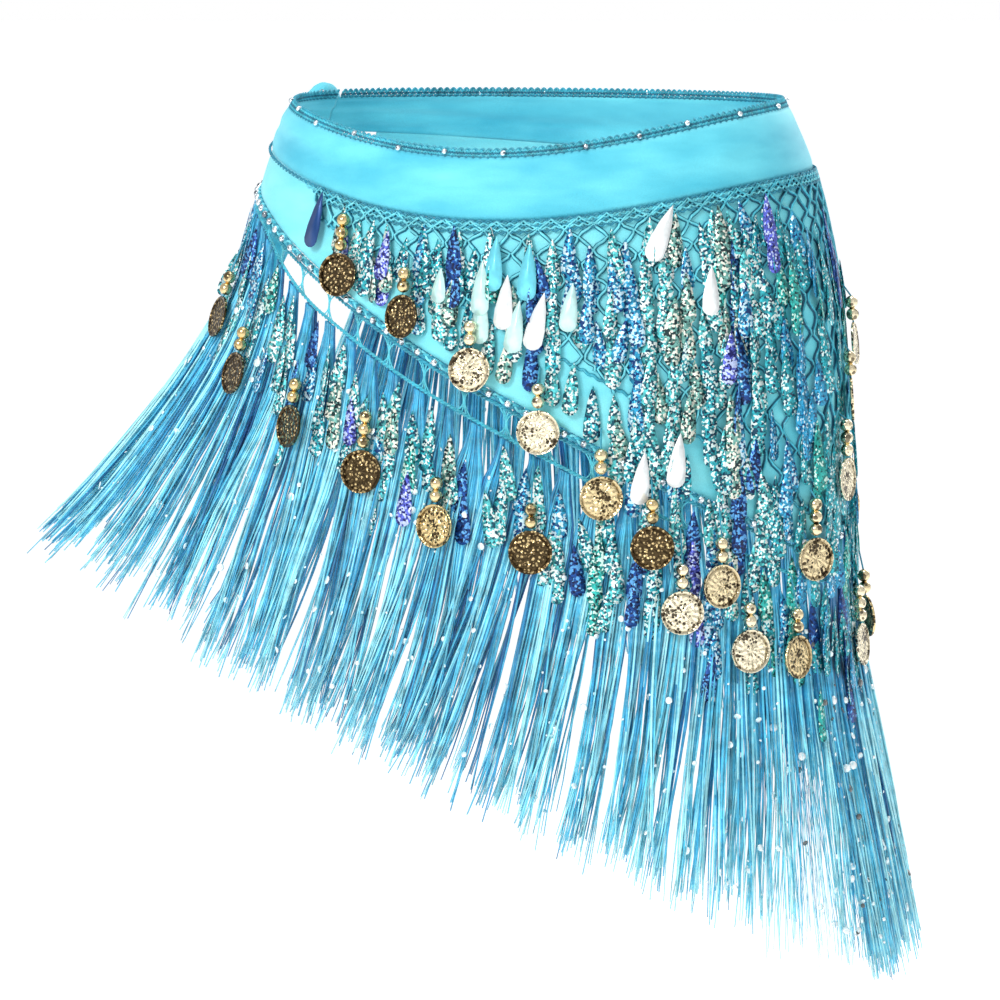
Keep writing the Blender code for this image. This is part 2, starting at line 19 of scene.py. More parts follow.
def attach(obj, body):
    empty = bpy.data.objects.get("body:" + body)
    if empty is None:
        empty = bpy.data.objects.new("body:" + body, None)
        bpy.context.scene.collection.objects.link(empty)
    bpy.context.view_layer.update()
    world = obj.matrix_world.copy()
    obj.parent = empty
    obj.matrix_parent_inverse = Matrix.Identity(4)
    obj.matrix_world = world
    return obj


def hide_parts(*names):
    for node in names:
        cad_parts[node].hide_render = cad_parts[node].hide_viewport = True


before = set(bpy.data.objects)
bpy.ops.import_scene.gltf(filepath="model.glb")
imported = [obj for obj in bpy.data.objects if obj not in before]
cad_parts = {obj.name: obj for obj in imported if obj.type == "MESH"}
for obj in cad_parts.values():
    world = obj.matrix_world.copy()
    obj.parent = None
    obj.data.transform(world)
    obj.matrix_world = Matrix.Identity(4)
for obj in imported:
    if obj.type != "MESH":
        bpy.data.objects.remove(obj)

LOG = logging.getLogger("hip_scarf")
BODY = "root"
Array = np.ndarray
Socket = bpy.types.NodeSocket
Zone = tuple[float, float]
Swell = tuple[float, float, float]
Between = tuple[float, float, float, float]
GREY = (0.5, 0.5, 0.5, 1.0)
WHITE = (1.0, 1.0, 1.0, 1.0)
STAND_UP = Matrix.Rotation(math.radians(90.0), 4, "X")


class Slot(Enum):
    """The record's material slots."""

    VELVET = "velvet"
    PANEL = "panel_cloth"
    YARN = "crochet_yarn"
    THREAD = "fringe_thread"
    GOLD = "gold_coin"
    PAILLETTE = "paillette"
    SILVER = "silver_bead"


class Shade(Enum):
    """The colours of one kind of paillette."""

    @property
    def tone(self) -> float:
        """The tone by which the material knows it."""
        kinds = list(type(self))
        return (kinds.index(self) + 0.5) / len(kinds)


class Sparkle(Shade):
    """The colours of the glittering paillettes: their tint, and their dark dots and bright dots, which are painted
    reflections.
    """

    SEA = ((0.025, 0.36, 0.42), (0.004, 0.050, 0.10), (0.78, 0.95, 0.92))
    ICE = ((0.09, 0.52, 0.54), (0.008, 0.08, 0.12), (0.88, 0.97, 0.93))
    CREAM = ((0.17, 0.42, 0.37), (0.010, 0.035, 0.040), (0.95, 0.95, 0.82))
    SKY = ((0.030, 0.33, 0.56), (0.004, 0.040, 0.17), (0.62, 0.86, 0.96))
    VIOLET = ((0.10, 0.13, 0.60), (0.008, 0.010, 0.12), (0.60, 0.70, 1.0))
    GREEN = ((0.025, 0.40, 0.36), (0.004, 0.055, 0.06), (0.70, 0.96, 0.86))
    NAVY = ((0.008, 0.06, 0.26), (0.003, 0.010, 0.06), (0.12, 0.40, 0.78))


class Gloss(Shade):
    """The smooth paillettes: the colour of each."""

    WHITE = (0.94, 0.98, 0.97)
    MINT = (0.62, 0.94, 0.90)
    AQUA = (0.16, 0.68, 0.82)
    DEEP = (0.004, 0.050, 0.20)


def bump(angle: Array, centre: float, spread: float) -> Array:
    """A soft rise round one angle: 1 at the centre, fading to 0 over its spread, all in degrees."""
    away = (np.asarray(angle, float) - centre + 180.0) % 360.0 - 180.0
    return np.exp(-((away / spread) ** 2))


def ramp(value: Array) -> Array:
    """A smooth rise: 0 below 0 and 1 above 1."""
    share = np.clip(value, 0.0, 1.0)
    return share * share * (3.0 - 2.0 * share)


def swell(angle: Array, size: float, centre: float, spread: float) -> Array:
    """A soft rise of some size round one angle."""
    return size * bump(angle, centre, spread)


def between(angle: Array, start: float, rise: float, end: float, fall: float) -> Array:
    """1 from one angle to another: it rises from the start on and falls from the end on."""
    return ramp((angle - start) / rise) * (1.0 - ramp((angle - end) / fall))


def unit(vectors: Array) -> Array:
    """Vectors brought to length 1."""
    return vectors / np.maximum(np.linalg.norm(vectors, axis=-1, keepdims=True), 1e-12)


@dataclass(frozen=True)
class HipForm:
    """The oval form that the scarf is worn round, with the lines along which its pieces meet."""

    hip_half_width: float = 0.171
    waist_taper: float = 0.045
    taper_top: float = 0.030
    taper_length: float = 0.065
    depth_to_width: float = 0.74
    arc_level: float = -0.045
    rim_height: float = 0.019
    front_dip: float = 0.024
    dip_angle: float = 8.0
    dip_spread: float = 50.0
    band_drop: float = 0.0375
    tie_angle: float = -103.0
    gather: float = 0.014
    gather_spread: float = 70.0
    trim_height: float = 0.0050
    tip_angle: float = 85.0
    tip_height: float = -0.2215
    tip_round: float = 0.025
    edge_slope: float = 0.55
    panel_least: float = 0.022
    panel_blend: float = 0.006
    panel_start: float = -85.0
    panel_end: float = 240.0
    fold_depth: float = 0.0016
    fold_ramp: float = 0.080
    fold_waves: float = 9.0
    net_share_at_tip: float = 0.96
    net_share_loss: float = 2.1
    net_least_share: float = 0.25
    braid_height: float = 0.0040
    ladder_height_most: float = 0.0165
    ladder_least: float = 0.0050
    ladder_ramp_start: float = 0.070
    ladder_ramp: float = 0.070
    seam_gap: float = 0.0003
    wide_gap: float = 0.0005
    swing: float = 0.110
    swing_angle: float = -80.0
    swing_spread: float = 56.0
    swing_heading: tuple[float, float, float] = (-0.891, -0.454, 0.0)
    flare: float = 0.010
    side_flare: Swell = (0.026, 108.0, 40.0)
    back_flare: Swell = (0.012, 220.0, 50.0)
    fringe_cut: float = 0.194
    end_lengthening: Swell = (0.032, -80.0, 32.0)
    side_lengthening: Swell = (0.036, 108.0, 26.0)
    bend_power: float = 1.40
    bend_steps: int = 24
    arc_marks: int = 1441
    probe: float = 0.004

    def half_width(self, height: Array) -> Array:
        """Half the form's width at a height."""
        return self.hip_half_width - self.waist_taper * np.exp((height - self.taper_top) / self.taper_length)

    def outward(self, angle: Array, height: Array) -> Array:
        """The form's outward normals.

        Args:
            angle: Angles round the hips, in degrees.
            height: Heights, one for each angle.

        Returns:
            Unit vectors.
        """
        turn = np.radians(angle)
        taper = self.waist_taper / self.taper_length * np.exp((height - self.taper_top) / self.taper_length)
        parts = np.broadcast_arrays(np.sin(turn), -np.cos(turn) / self.depth_to_width, taper)
        return unit(np.stack(parts, axis=-1))

    def worn(self, angle: Array, height: Array, out: Array) -> Array:
        """Points on the form, moved out along its normal.

        Args:
            angle: Angles round the hips, in degrees.
            height: Heights.
            out: Distances out from the form.

        Returns:
            Points, in metres.
        """
        turn = np.radians(angle)
        width = self.half_width(height)
        parts = np.broadcast_arrays(width * np.sin(turn), -self.depth_to_width * width * np.cos(turn), height)
        return np.stack(parts, axis=-1) + self.outward(angle, height) * np.asarray(out)[..., None]

    def arc_table(self) -> tuple[Array, Array]:
        """Angles round the form, and the distance round it from the tie to each."""
        angles = np.linspace(self.tie_angle, self.tie_angle + 360.0, self.arc_marks)
        points = self.worn(angles, np.full(angles.shape, self.arc_level), np.zeros(angles.shape))
        steps = np.linalg.norm(np.diff(points, axis=0), axis=1)
        return angles, np.concatenate(([0.0], np.cumsum(steps)))

    def arc(self, angle: Array) -> Array:
        """The distance round the form from the tie to an angle."""
        return np.interp(angle, *ARC_TABLE)

    def angle_at(self, length: Array) -> Array:
        """The angle at a distance round the form from the tie."""
        return np.interp(length, ARC_TABLE[1], ARC_TABLE[0])

    def stretch(self, start: float, end: float) -> tuple[float, float]:
        """The distances round the form from the tie to two angles."""
        return float(self.arc(start)), float(self.arc(end))

    def rim(self, angle: Array) -> Array:
        """The height of the waistband's top edge, trim included."""
        return self.rim_height - self.front_dip * bump(angle, self.dip_angle, self.dip_spread)

    def band_top(self, angle: Array) -> Array:
        """The height of the plain band's top edge."""
        return self.rim(angle) - self.trim_height - self.seam_gap

    def seam(self, angle: Array) -> Array:
        """The height of the waistband's lower edge."""
        return self.rim(angle) - self.band_drop + self.gather * bump(angle, self.tie_angle, self.gather_spread)

    def panel_top(self, angle: Array) -> Array:
        """The height of the panel's top edge."""
        return self.seam(angle) - self.seam_gap

    def panel_edge(self, angle: Array) -> Array:
        """The height of the panel's cut edge."""
        away = self.arc(angle) - self.arc(self.tip_angle)
        slanted = self.tip_height + self.edge_slope * np.hypot(away, self.tip_round)
        level = self.seam(angle) - self.panel_least
        blend = self.panel_blend
        return -blend * np.log(np.exp(-slanted / blend) + np.exp(-level / blend))

    def net_edge(self, angle: Array) -> Array:
        """The height of the crochet net's lower edge."""
        share = self.net_share_at_tip - self.net_share_loss * np.abs(self.arc(angle) - self.arc(self.tip_angle))
        drop = self.panel_edge(angle) - self.panel_top(angle)
        return self.panel_top(angle) + drop * np.maximum(share, self.net_least_share)

    def braid_edge(self, angle: Array) -> Array:
        """The height of the braid's lower edge."""
        return self.panel_edge(angle) - self.seam_gap - self.braid_height

    def ladder_height(self, angle: Array) -> Array:
        """The open ladder's height, which is least at the panel's two ends."""
        from_start = self.arc(angle) - self.arc(self.panel_start)
        from_end = self.arc(self.panel_end) - self.arc(angle)
        share = ramp((np.minimum(from_start, from_end) - self.ladder_ramp_start) / self.ladder_ramp)
        return self.ladder_least + (self.ladder_height_most - self.ladder_least) * share

    def ladder_edge(self, angle: Array) -> Array:
        """The height of the ladder's lower edge."""
        return self.braid_edge(angle) - self.wide_gap - self.ladder_height(angle)

    def fringe_root(self, angle: Array) -> Array:
        """The height at which the fringe starts."""
        return self.ladder_edge(angle) - self.wide_gap

    def fold(self, angle: Array, height: Array) -> Array:
        """How far a soft fold lifts the panel, and all that lies on it, off the form."""
        share = ramp((self.seam(angle) - height) / self.fold_ramp)
        return self.fold_depth * share * (1.0 + np.cos(np.radians(self.fold_waves * np.asarray(angle))))

    def laid(self, angle: Array, height: Array, out: Array) -> Array:
        """Points over the folds of the panel."""
        return self.worn(angle, height, out + self.fold(angle, height))

    def fly(self, angle: Array) -> Array:
        """How far, and which way, a full length of fringe is carried sideways."""
        flare = self.flare + swell(angle, *self.side_flare) + swell(angle, *self.back_flare)
        away = self.outward(angle, self.fringe_root(angle))
        away[..., 2] = 0.0
        swung = self.swing * bump(angle, self.swing_angle, self.swing_spread)
        return np.array(self.swing_heading) * swung[..., None] + unit(away) * flare[..., None]

    def fringe_length(self, angle: Array) -> Array:
        """The fringe's full length at an angle."""
        return self.fringe_cut + swell(angle, *self.end_lengthening) + swell(angle, *self.side_lengthening)

    def hang(self, angle: Array, depth: Array) -> Array:
        """The way from a lock's root to the point that lies a depth along it.

        Args:
            angle: Angles round the hips, in degrees.
            depth: Lengths down the lock.

        Returns:
            Vectors, in metres.
        """
        angle, depth = np.broadcast_arrays(np.asarray(angle, float), np.asarray(depth, float))
        carried = self.fly(angle)
        reach = np.linalg.norm(carried, axis=-1)
        share = depth / self.fringe_length(angle)
        marks = (share[..., None] * np.linspace(0.0, 1.0, self.bend_steps + 1)) ** self.bend_power
        sideways = reach[..., None] * np.diff(marks, axis=-1)
        falls = np.sqrt(np.maximum((depth[..., None] / self.bend_steps) ** 2 - sideways**2, 0.0))
        way = carried * (share**self.bend_power)[..., None]
        way[..., 2] -= falls.sum(axis=-1)
        return way

    def over_cloth(self, angle: Array, height: Array, out: Array) -> Array:
        """Points over the cloth, or over the flying fringe below its root.

        Args:
            angle: Angles round the hips, in degrees.
            height: Heights, counted along the fringe below its root.
            out: Distances out from the cloth.

        Returns:
            Points, in metres.
        """
        root = self.fringe_root(angle)
        hung = self.hang(angle, np.maximum(root - height, 0.0))
        return self.laid(angle, np.maximum(height, root), out) + hung

    def hung_axes(self, angle: Array, height: Array, out: Array) -> tuple[Array, Array, Array]:
        """The axes of things that hang over the cloth.

        Args:
            angle: Angles round the hips, in degrees.
            height: Heights.
            out: Distances out from the cloth.

        Returns:
            Sideways, outward and upward unit vectors.
        """
        up = unit(self.over_cloth(angle, height, out) - self.over_cloth(angle, height - self.probe, out))
        side = unit(np.cross(up, self.outward(angle, height)))
        return side, np.cross(up, side), up


FORM = HipForm()
ARC_TABLE = FORM.arc_table()


class Desk:
    """Lays out the nodes of one material, group or world."""

    def __init__(self, tree: bpy.types.NodeTree) -> None:
        """Take a node tree to work in."""
        self.tree = tree

    def feed(self, socket: Socket, value: object) -> None:
        """Link a socket's source to it, or set its plain value."""
        if isinstance(value, Socket):
            self.tree.links.new(value, socket)
        else:
            socket.default_value = value

    def node(self, kind: str, feeds: dict | None = None, **settings: object) -> bpy.types.Node:
        """Add a node.

        Args:
            kind: Blender's name for the node.
            feeds: What its inputs get, sockets or values, by name or number.
            settings: Properties of the node.

        Returns:
            The new node.
        """
        made = self.tree.nodes.new(kind)
        for name, value in settings.items():
            setattr(made, name, value)
        for name, value in (feeds or {}).items():
            self.feed(made.inputs[name], value)
        return made

    def maths(self, operation: str, *values: object, **settings: object) -> Socket:
        """The result of a Math node on sockets or numbers."""
        return self.node("ShaderNodeMath", dict(enumerate(values)), operation=operation, **settings).outputs[0]

    def blend(self, share: Socket, first: object, second: object) -> Socket:
        """Two colours mixed, with as much of the second as the share says."""
        return self.node("ShaderNodeMix", {0: share, 6: first, 7: second}, data_type="RGBA").outputs[2]

    def scale_colour(self, colour: Socket, factor: Socket) -> Socket:
        """A colour times a number."""
        return self.node("ShaderNodeVectorMath", {0: colour, "Scale": factor}, operation="SCALE").outputs[0]

    def steps(self, value: Socket, stops: list[tuple[float, tuple]], kind: str = "LINEAR") -> Socket:
        """Map a number to colours.

        Args:
            value: The number's socket.
            stops: Positions with their colours.
            kind: How the ramp runs between its stops.

        Returns:
            The colour's socket.
        """
        made = self.node("ShaderNodeValToRGB", {0: value})
        made.color_ramp.interpolation = kind
        elements = made.color_ramp.elements
        while len(elements) < len(stops):
            elements.new(1.0)
        for element, (place, colour) in zip(elements, stops):
            element.position = place
            element.color = (*colour, 1.0)
        return made.outputs[0]

    def place(self) -> Socket:
        """The piece's own coordinates, in metres."""
        return self.node("ShaderNodeTexCoord").outputs["Object"]

    def noise(self, at: Socket, scale: object, detail: float) -> Socket:
        """A soft noise round 0.5, by its coordinates, its waves in a metre and how many finer waves it has."""
        return self.node("ShaderNodeTexNoise", {"Vector": at, "Scale": scale, "Detail": detail}).outputs[0]

    def cells(self, at: Socket, scale: Socket) -> bpy.types.bpy_prop_collection:
        """The outputs of a cell pattern, by its coordinates and its cells in a metre."""
        return self.node("ShaderNodeTexVoronoi", {"Vector": at, "Scale": scale}, feature="F1").outputs

    def attribute(self, name: str) -> Socket:
        """The value of a piece's own attribute."""
        return self.node("ShaderNodeAttribute", attribute_name=name).outputs["Fac"]


class Effects:
    """The effects that several finishes share, each built once as a node group."""

    def __init__(self) -> None:
        """Build the groups."""
        self.pile_and_shade = self._pile_and_shade()
        self.twist = self._twist()
        self.glitter = self._glitter()
        self.hammer = self._hammer()

    @staticmethod
    def _start(name: str, outputs: tuple[str, ...], **inputs: object) -> tuple:
        """Start a group.

        Args:
            name: The group's name.
            outputs: The names of its outputs: Colour is a colour, the rest are numbers.
            inputs: The start values of its inputs by name, each a colour or a number.

        Returns:
            The group, its desk, the sockets that it is given and the sockets of its result.
        """
        group = bpy.data.node_groups.new(name, "ShaderNodeTree")
        for label, value in inputs.items():
            kind = "NodeSocketColor" if isinstance(value, tuple) else "NodeSocketFloat"
            group.interface.new_socket(name=label, in_out="INPUT", socket_type=kind).default_value = value
        for label in outputs:
            kind = "NodeSocketColor" if label == "Colour" else "NodeSocketFloat"
            group.interface.new_socket(name=label, in_out="OUTPUT", socket_type=kind)
        desk = Desk(group)
        return group, desk, desk.node("NodeGroupInput").outputs, desk.node("NodeGroupOutput").inputs

    def _pile_and_shade(self) -> bpy.types.NodeTree:
        """Cloth: long soft streaks of painted shade from the base towards the shade colour, and a fine pile that
        speckles the colour and gives the bump.
        """
        group, desk, given, result = self._start(
            "cloth_pile_and_painted_shade", ("Colour", "Height"), Base=GREY, Shade=GREY, Broad=14.0, Fine=2200.0
        )
        at = desk.place()
        flattened = desk.node("ShaderNodeVectorMath", {0: at, 1: (1.0, 1.0, 3.6)}, operation="MULTIPLY").outputs[0]
        broad = desk.noise(flattened, given["Broad"], 3.0)
        fine = desk.noise(at, given["Fine"], 1.0)
        # Painted shade: long soft streaks darken the base colour towards the shade colour.
        share = desk.maths("MULTIPLY_ADD", broad, 2.2, -0.55, use_clamp=True)
        colour = desk.blend(share, given["Shade"], given["Base"])
        desk.feed(result["Colour"], desk.scale_colour(colour, desk.maths("MULTIPLY_ADD", fine, 0.35, 0.83)))
        desk.feed(result["Height"], fine)
        return group

    def _twist(self) -> bpy.types.NodeTree:
        """Twisted thread: tones that vary along and between strands, with painted highlights on small turns along
        each; the turns also give the bump.
        """
        group, desk, given, result = self._start(
            "thread_twist_painted_glints", ("Colour", "Height"), Base=GREY, Glint=GREY, Amount=0.5, Scale=700.0
        )
        at = desk.place()
        turns = desk.noise(at, given["Scale"], 2.0)
        shade = desk.maths("MULTIPLY_ADD", desk.noise(at, 120.0, 3.0), 1.5, 0.25)
        # Painted highlights: bright turns blend towards the glint colour, more so on lighter strands.
        lit = desk.maths("MULTIPLY_ADD", turns, 3.4, -1.75, use_clamp=True)
        lit = desk.maths("MULTIPLY", lit, given["Amount"])
        desk.feed(result["Colour"], desk.blend(lit, desk.scale_colour(given["Base"], shade), given["Glint"]))
        desk.feed(result["Height"], turns)
        return group

    def _glitter(self) -> bpy.types.NodeTree:
        """Glitter dots of painted reflection: each small cell dark, tinted or near white, more so where it sparkles.
        """
        group, desk, given, result = self._start(
            "glitter_painted_glints", ("Colour", "Rough", "Height"), Tint=GREY, Dark=GREY, Bright=GREY, Spark=1.0, Scale=800.0
        )
        cells = desk.cells(desk.place(), given["Scale"])
        pick, tint, dull = desk.node("ShaderNodeSeparateColor", {0: cells["Color"]}).outputs[:3]
        # Painted reflections: some cells turn dark and some near white.
        dark = desk.maths("LESS_THAN", pick, desk.maths("MULTIPLY", given["Spark"], 0.29))
        edge = desk.maths("SUBTRACT", 1.0, desk.maths("MULTIPLY", given["Spark"], 0.31))
        colour = desk.scale_colour(given["Tint"], desk.maths("ADD", tint, 0.45))
        colour = desk.blend(desk.maths("GREATER_THAN", pick, edge), colour, given["Bright"])
        desk.feed(result["Colour"], desk.blend(dark, colour, given["Dark"]))
        desk.feed(result["Rough"], desk.maths("MULTIPLY_ADD", dull, 0.30, 0.22))
        desk.feed(result["Height"], tint)
        return group

    def _hammer(self) -> bpy.types.NodeTree:
        """Struck metal: a bright field with dark pits, or a dark field with bright lands."""
        group, desk, given, result = self._start(
            "struck_metal", ("Colour", "Height"), Light=GREY, Pit=GREY, Field=1.0, Scale=420.0, Tarnish=0.5
        )
        at = desk.place()
        apart = desk.cells(at, given["Scale"])["Distance"]
        patch = desk.maths("SUBTRACT", desk.noise(at, 150.0, 2.0), 0.5)
        deep = desk.maths("MULTIPLY_ADD", patch, 1.9, 0.40)
        pits = desk.maths("MULTIPLY", desk.maths("SUBTRACT", deep, apart), 9.0, use_clamp=True)
        lands = desk.maths("MULTIPLY", desk.maths("SUBTRACT", apart, 0.30), 9.0, use_clamp=True)
        worn = desk.maths("MULTIPLY", lands, desk.maths("SUBTRACT", 1.0, given["Field"]))
        worn = desk.maths("ADD", worn, desk.maths("MULTIPLY", pits, given["Field"]))
        worn = desk.maths("MULTIPLY", worn, given["Tarnish"])
        desk.feed(result["Colour"], desk.blend(worn, given["Light"], given["Pit"]))
        desk.feed(result["Height"], apart)
        return group


@dataclass(frozen=True)
class Finish:
    """One material: its name and the values that are the same all over it."""

    name: str
    roughness: float
    metallic: float = 0.0
    sheen: float = 0.0
    sheen_tint: tuple[float, float, float] = (1.0, 1.0, 1.0)
    coat: float = 0.0
    bump: float = 0.2
    relief: float = 0.0002


class Bench(Desk):
    """The desk of one material, with the sockets of its shader."""

    def __init__(self, finish: Finish) -> None:
        """Make the material and give its shader the finish's fixed values."""
        self.finish = finish
        self.material = bpy.data.materials.new(finish.name)
        self.material.use_nodes = True
        super().__init__(self.material.node_tree)
        self.shader = self.tree.nodes["Principled BSDF"].inputs
        self.shader["Roughness"].default_value = finish.roughness
        self.shader["Metallic"].default_value = finish.metallic
        self.shader["Sheen Weight"].default_value = finish.sheen
        self.shader["Sheen Tint"].default_value = (*finish.sheen_tint, 1.0)
        self.shader["Coat Weight"].default_value = finish.coat

    def placed(self, group: bpy.types.NodeTree, **values: object) -> bpy.types.bpy_prop_collection:
        """The outputs of a shared effect, placed with values or sockets for its inputs."""
        return self.node("ShaderNodeGroup", values, node_tree=group).outputs

    def done(self, colour: Socket, height: Socket) -> bpy.types.Material:
        """Feed the shader its colour and its bump.

        Args:
            colour: The colour's socket.
            height: The socket of the bump's height.

        Returns:
            The material.
        """
        feeds = {"Strength": self.finish.bump, "Distance": self.finish.relief, "Height": height}
        self.feed(self.shader["Normal"], self.node("ShaderNodeBump", feeds).outputs[0])
        self.feed(self.shader["Base Color"], colour)
        return self.material


class Wardrobe:
    """Every finish of the scarf."""

    def __init__(self) -> None:
        """Build the shared effects and then the materials."""
        self.effects = Effects()
        # The second colour of each cloth is the painted shade of its long streaks.
        self.velvet = self._cloth(
            Finish("turquoise_velvet", 0.62, sheen=0.30, sheen_tint=(0.72, 0.98, 1.0), bump=0.25),
            (0.155, 0.71, 0.82, 1.0),
            (0.030, 0.42, 0.58, 1.0),
        )
        self.panel = self._cloth(
            Finish("turquoise_panel_cloth", 0.55, sheen=0.2, sheen_tint=(0.8, 1.0, 1.0), bump=0.3),
            (0.26, 0.80, 0.85, 1.0),
            (0.10, 0.60, 0.72, 1.0),
        )
        yarn_tones = [
            (0.0, (0.003, 0.050, 0.11)),
            (0.35, (0.015, 0.23, 0.34)),
            (0.70, (0.055, 0.48, 0.60)),
            (1.0, (0.24, 0.78, 0.84)),
        ]
        finish = Finish("crochet_yarn", 0.55, bump=0.6, relief=0.0004)
        self.yarn = self._toned_thread(finish, yarn_tones, (0.36, 0.84, 0.88, 1.0), 650.0)
        thread_tones = [
            (0.0, (0.004, 0.10, 0.30)),
            (0.28, (0.025, 0.34, 0.60)),
            (0.60, (0.105, 0.61, 0.83)),
            (1.0, (0.42, 0.90, 0.97)),
        ]
        finish = Finish("fringe_thread", 0.42, sheen=0.15, bump=0.5, relief=0.0004)
        self.thread = self._toned_thread(finish, thread_tones, (0.55, 0.92, 0.97, 1.0), 520.0)
        self.glitter = self._paillette_glitter()
        self.gloss = self._paillette_gloss()
        self.sequin = self._sequin()
        self.coin = self._gold(Finish("gold_coin", 0.24, metallic=1.0, bump=0.7, relief=0.0008), 560.0, 0.92)
        self.gold_bead = self._gold(Finish("gold_bead", 0.16, metallic=1.0, bump=0.3, relief=0.0005), 330.0, 0.8)
        self.silver = self._silver()

    def _cloth(self, finish: Finish, base: tuple, shade: tuple) -> bpy.types.Material:
        """A cloth with a fine pile, painted with long soft streaks of shade from its lighter colour to its second one.
        """
        bench = Bench(finish)
        pile_and_shade = bench.placed(self.effects.pile_and_shade, Base=base, Shade=shade, Broad=16.0)
        return bench.done(pile_and_shade["Colour"], pile_and_shade["Height"])

    def _toned_thread(self, finish: Finish, stops: list, glint: tuple, scale: float) -> bpy.types.Material:
        """A thread or yarn whose colour follows each cord's tone.

        Args:
            finish: The material's fixed values.
            stops: Tones with their colours.
            glint: The colour of the painted highlights on its turns.
            scale: Turns in a metre.

        Returns:
            The material.
        """
        bench = Bench(finish)
        tone = bench.attribute("tone")
        base, amount = bench.steps(tone, stops), bench.maths("MULTIPLY", tone, 0.7)
        twist = bench.placed(self.effects.twist, Base=base, Glint=glint, Amount=amount, Scale=scale)
        return bench.done(twist["Colour"], twist["Height"])

    def _paillette_glitter(self) -> bpy.types.Material:
        """The glittering paillettes, whose colours follow each one's tone, with dots of painted reflection."""
        bench = Bench(Finish("glitter_paillette", 0.3, metallic=0.45, bump=0.5, relief=0.0004))
        tone, spark = bench.attribute("tone"), bench.attribute("spark")
        colours = {}
        for part, label in enumerate(("Tint", "Dark", "Bright")):
            stops = [(index / len(Sparkle), kind.value[part]) for index, kind in enumerate(Sparkle)]
            colours[label] = bench.steps(tone, stops, "CONSTANT")
        dots = bench.placed(self.effects.glitter, **colours, Spark=spark, Scale=900.0)
        bench.feed(bench.shader["Roughness"], dots["Rough"])
        return bench.done(dots["Colour"], dots["Height"])

    def _paillette_gloss(self) -> bpy.types.Material:
        """The smooth paillettes that flash white, mint or deep blue."""
        bench = Bench(Finish("gloss_paillette", 0.30, metallic=0.35, coat=0.15, bump=0.15, relief=0.0003))
        stops = [(index / len(Gloss), kind.value) for index, kind in enumerate(Gloss)]
        tint = bench.steps(bench.attribute("tone"), stops, "CONSTANT")
        cloud = bench.noise(bench.place(), 240.0, 2.0)
        return bench.done(bench.scale_colour(tint, bench.maths("MULTIPLY_ADD", cloud, 0.5, 0.75)), cloud)

    def _sequin(self) -> bpy.types.Material:
        """The small white sequins in the fringe."""
        bench = Bench(Finish("white_sequin", 0.22, metallic=0.2, coat=0.5, bump=0.1))
        cloud = bench.noise(bench.place(), 500.0, 1.0)
        colour = bench.steps(cloud, [(0.35, (0.62, 0.90, 0.94)), (0.55, (0.94, 0.98, 0.98))])
        return bench.done(bench.scale_colour(colour, bench.attribute("tone")), cloud)

    def _gold(self, finish: Finish, scale: float, tarnish: float) -> bpy.types.Material:
        """A struck gold metal whose colour follows the painted reflection in its tone, with painted shade in its
        grooves.

        Args:
            finish: The material's fixed values.
            scale: Pits in a metre.
            tarnish: How dark the pits are.

        Returns:
            The material.
        """
        bench = Bench(finish)
        tone, relief = bench.attribute("tone"), bench.attribute("emboss")
        # The tone is the painted reflection: dark bronze with bright lands for dark coins, pale cream for bright ones.
        struck = bench.placed(
            self.effects.hammer,
            Light=bench.steps(tone, [(0.0, (0.62, 0.47, 0.26)), (0.5, (0.72, 0.54, 0.25)), (1.0, (0.97, 0.87, 0.63))]),
            Pit=(0.024, 0.013, 0.006, 1.0),
            Field=bench.maths("GREATER_THAN", tone, 0.4),
            Scale=scale,
            Tarnish=tarnish,
        )
        # Painted shade in the struck grooves.
        groove = bench.maths("MULTIPLY", relief, -0.5, use_clamp=True)
        colour = bench.blend(groove, struck["Colour"], (0.060, 0.034, 0.014, 1.0))
        return bench.done(colour, bench.maths("MULTIPLY_ADD", relief, 1.5, struck["Height"]))

    def _silver(self) -> bpy.types.Material:
        """The dark silver beads."""
        bench = Bench(Finish("silver_bead", 0.20, metallic=1.0, relief=0.0003))
        light, pit = (0.78, 0.86, 0.90, 1.0), (0.05, 0.07, 0.10, 1.0)
        struck = bench.placed(self.effects.hammer, Light=light, Pit=pit, Scale=520.0, Tarnish=0.8)
        return bench.done(struck["Colour"], struck["Height"])


def put(
    name: str, mesh: bpy.types.Mesh, material: bpy.types.Material, replaced: tuple[str, ...] = ()
) -> bpy.types.Object:
    """Put a finished mesh into the scene.

    Args:
        name: The piece's name.
        mesh: Its mesh.
        material: Its material.
        replaced: The solids that it stands for.

    Returns:
        The piece.
    """
    mesh.name = name
    mesh.materials.clear()
    mesh.materials.append(material)
    mesh.shade_smooth()
    made = bpy.data.objects.new(name, mesh)
    bpy.context.scene.collection.objects.link(made)
    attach(made, BODY)
    if replaced:
        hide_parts(*replaced)
    mesh.calc_loop_triangles()
    LOG.info("%s: %d triangles", name, len(mesh.loop_triangles))
    return made


def to_mesh(shape: bmesh.types.BMesh) -> bpy.types.Mesh:
    """Turn a bmesh into a mesh and free it.

    Args:
        shape: The bmesh.

    Returns:
        The mesh.
    """
    mesh = bpy.data.meshes.new("shape")
    shape.to_mesh(mesh)
    shape.free()
    return mesh


def points_of(mesh: bpy.types.Mesh) -> Array:
    """The mesh's points, one in each row."""
    flat = np.empty(len(mesh.vertices) * 3)
    mesh.vertices.foreach_get("co", flat)
    return flat.reshape(-1, 3)


def move_points(mesh: bpy.types.Mesh, points: Array) -> None:
    """Move the mesh's points to the places in the rows."""
    mesh.vertices.foreach_set("co", np.ascontiguousarray(points, dtype=float).ravel())
    mesh.update()


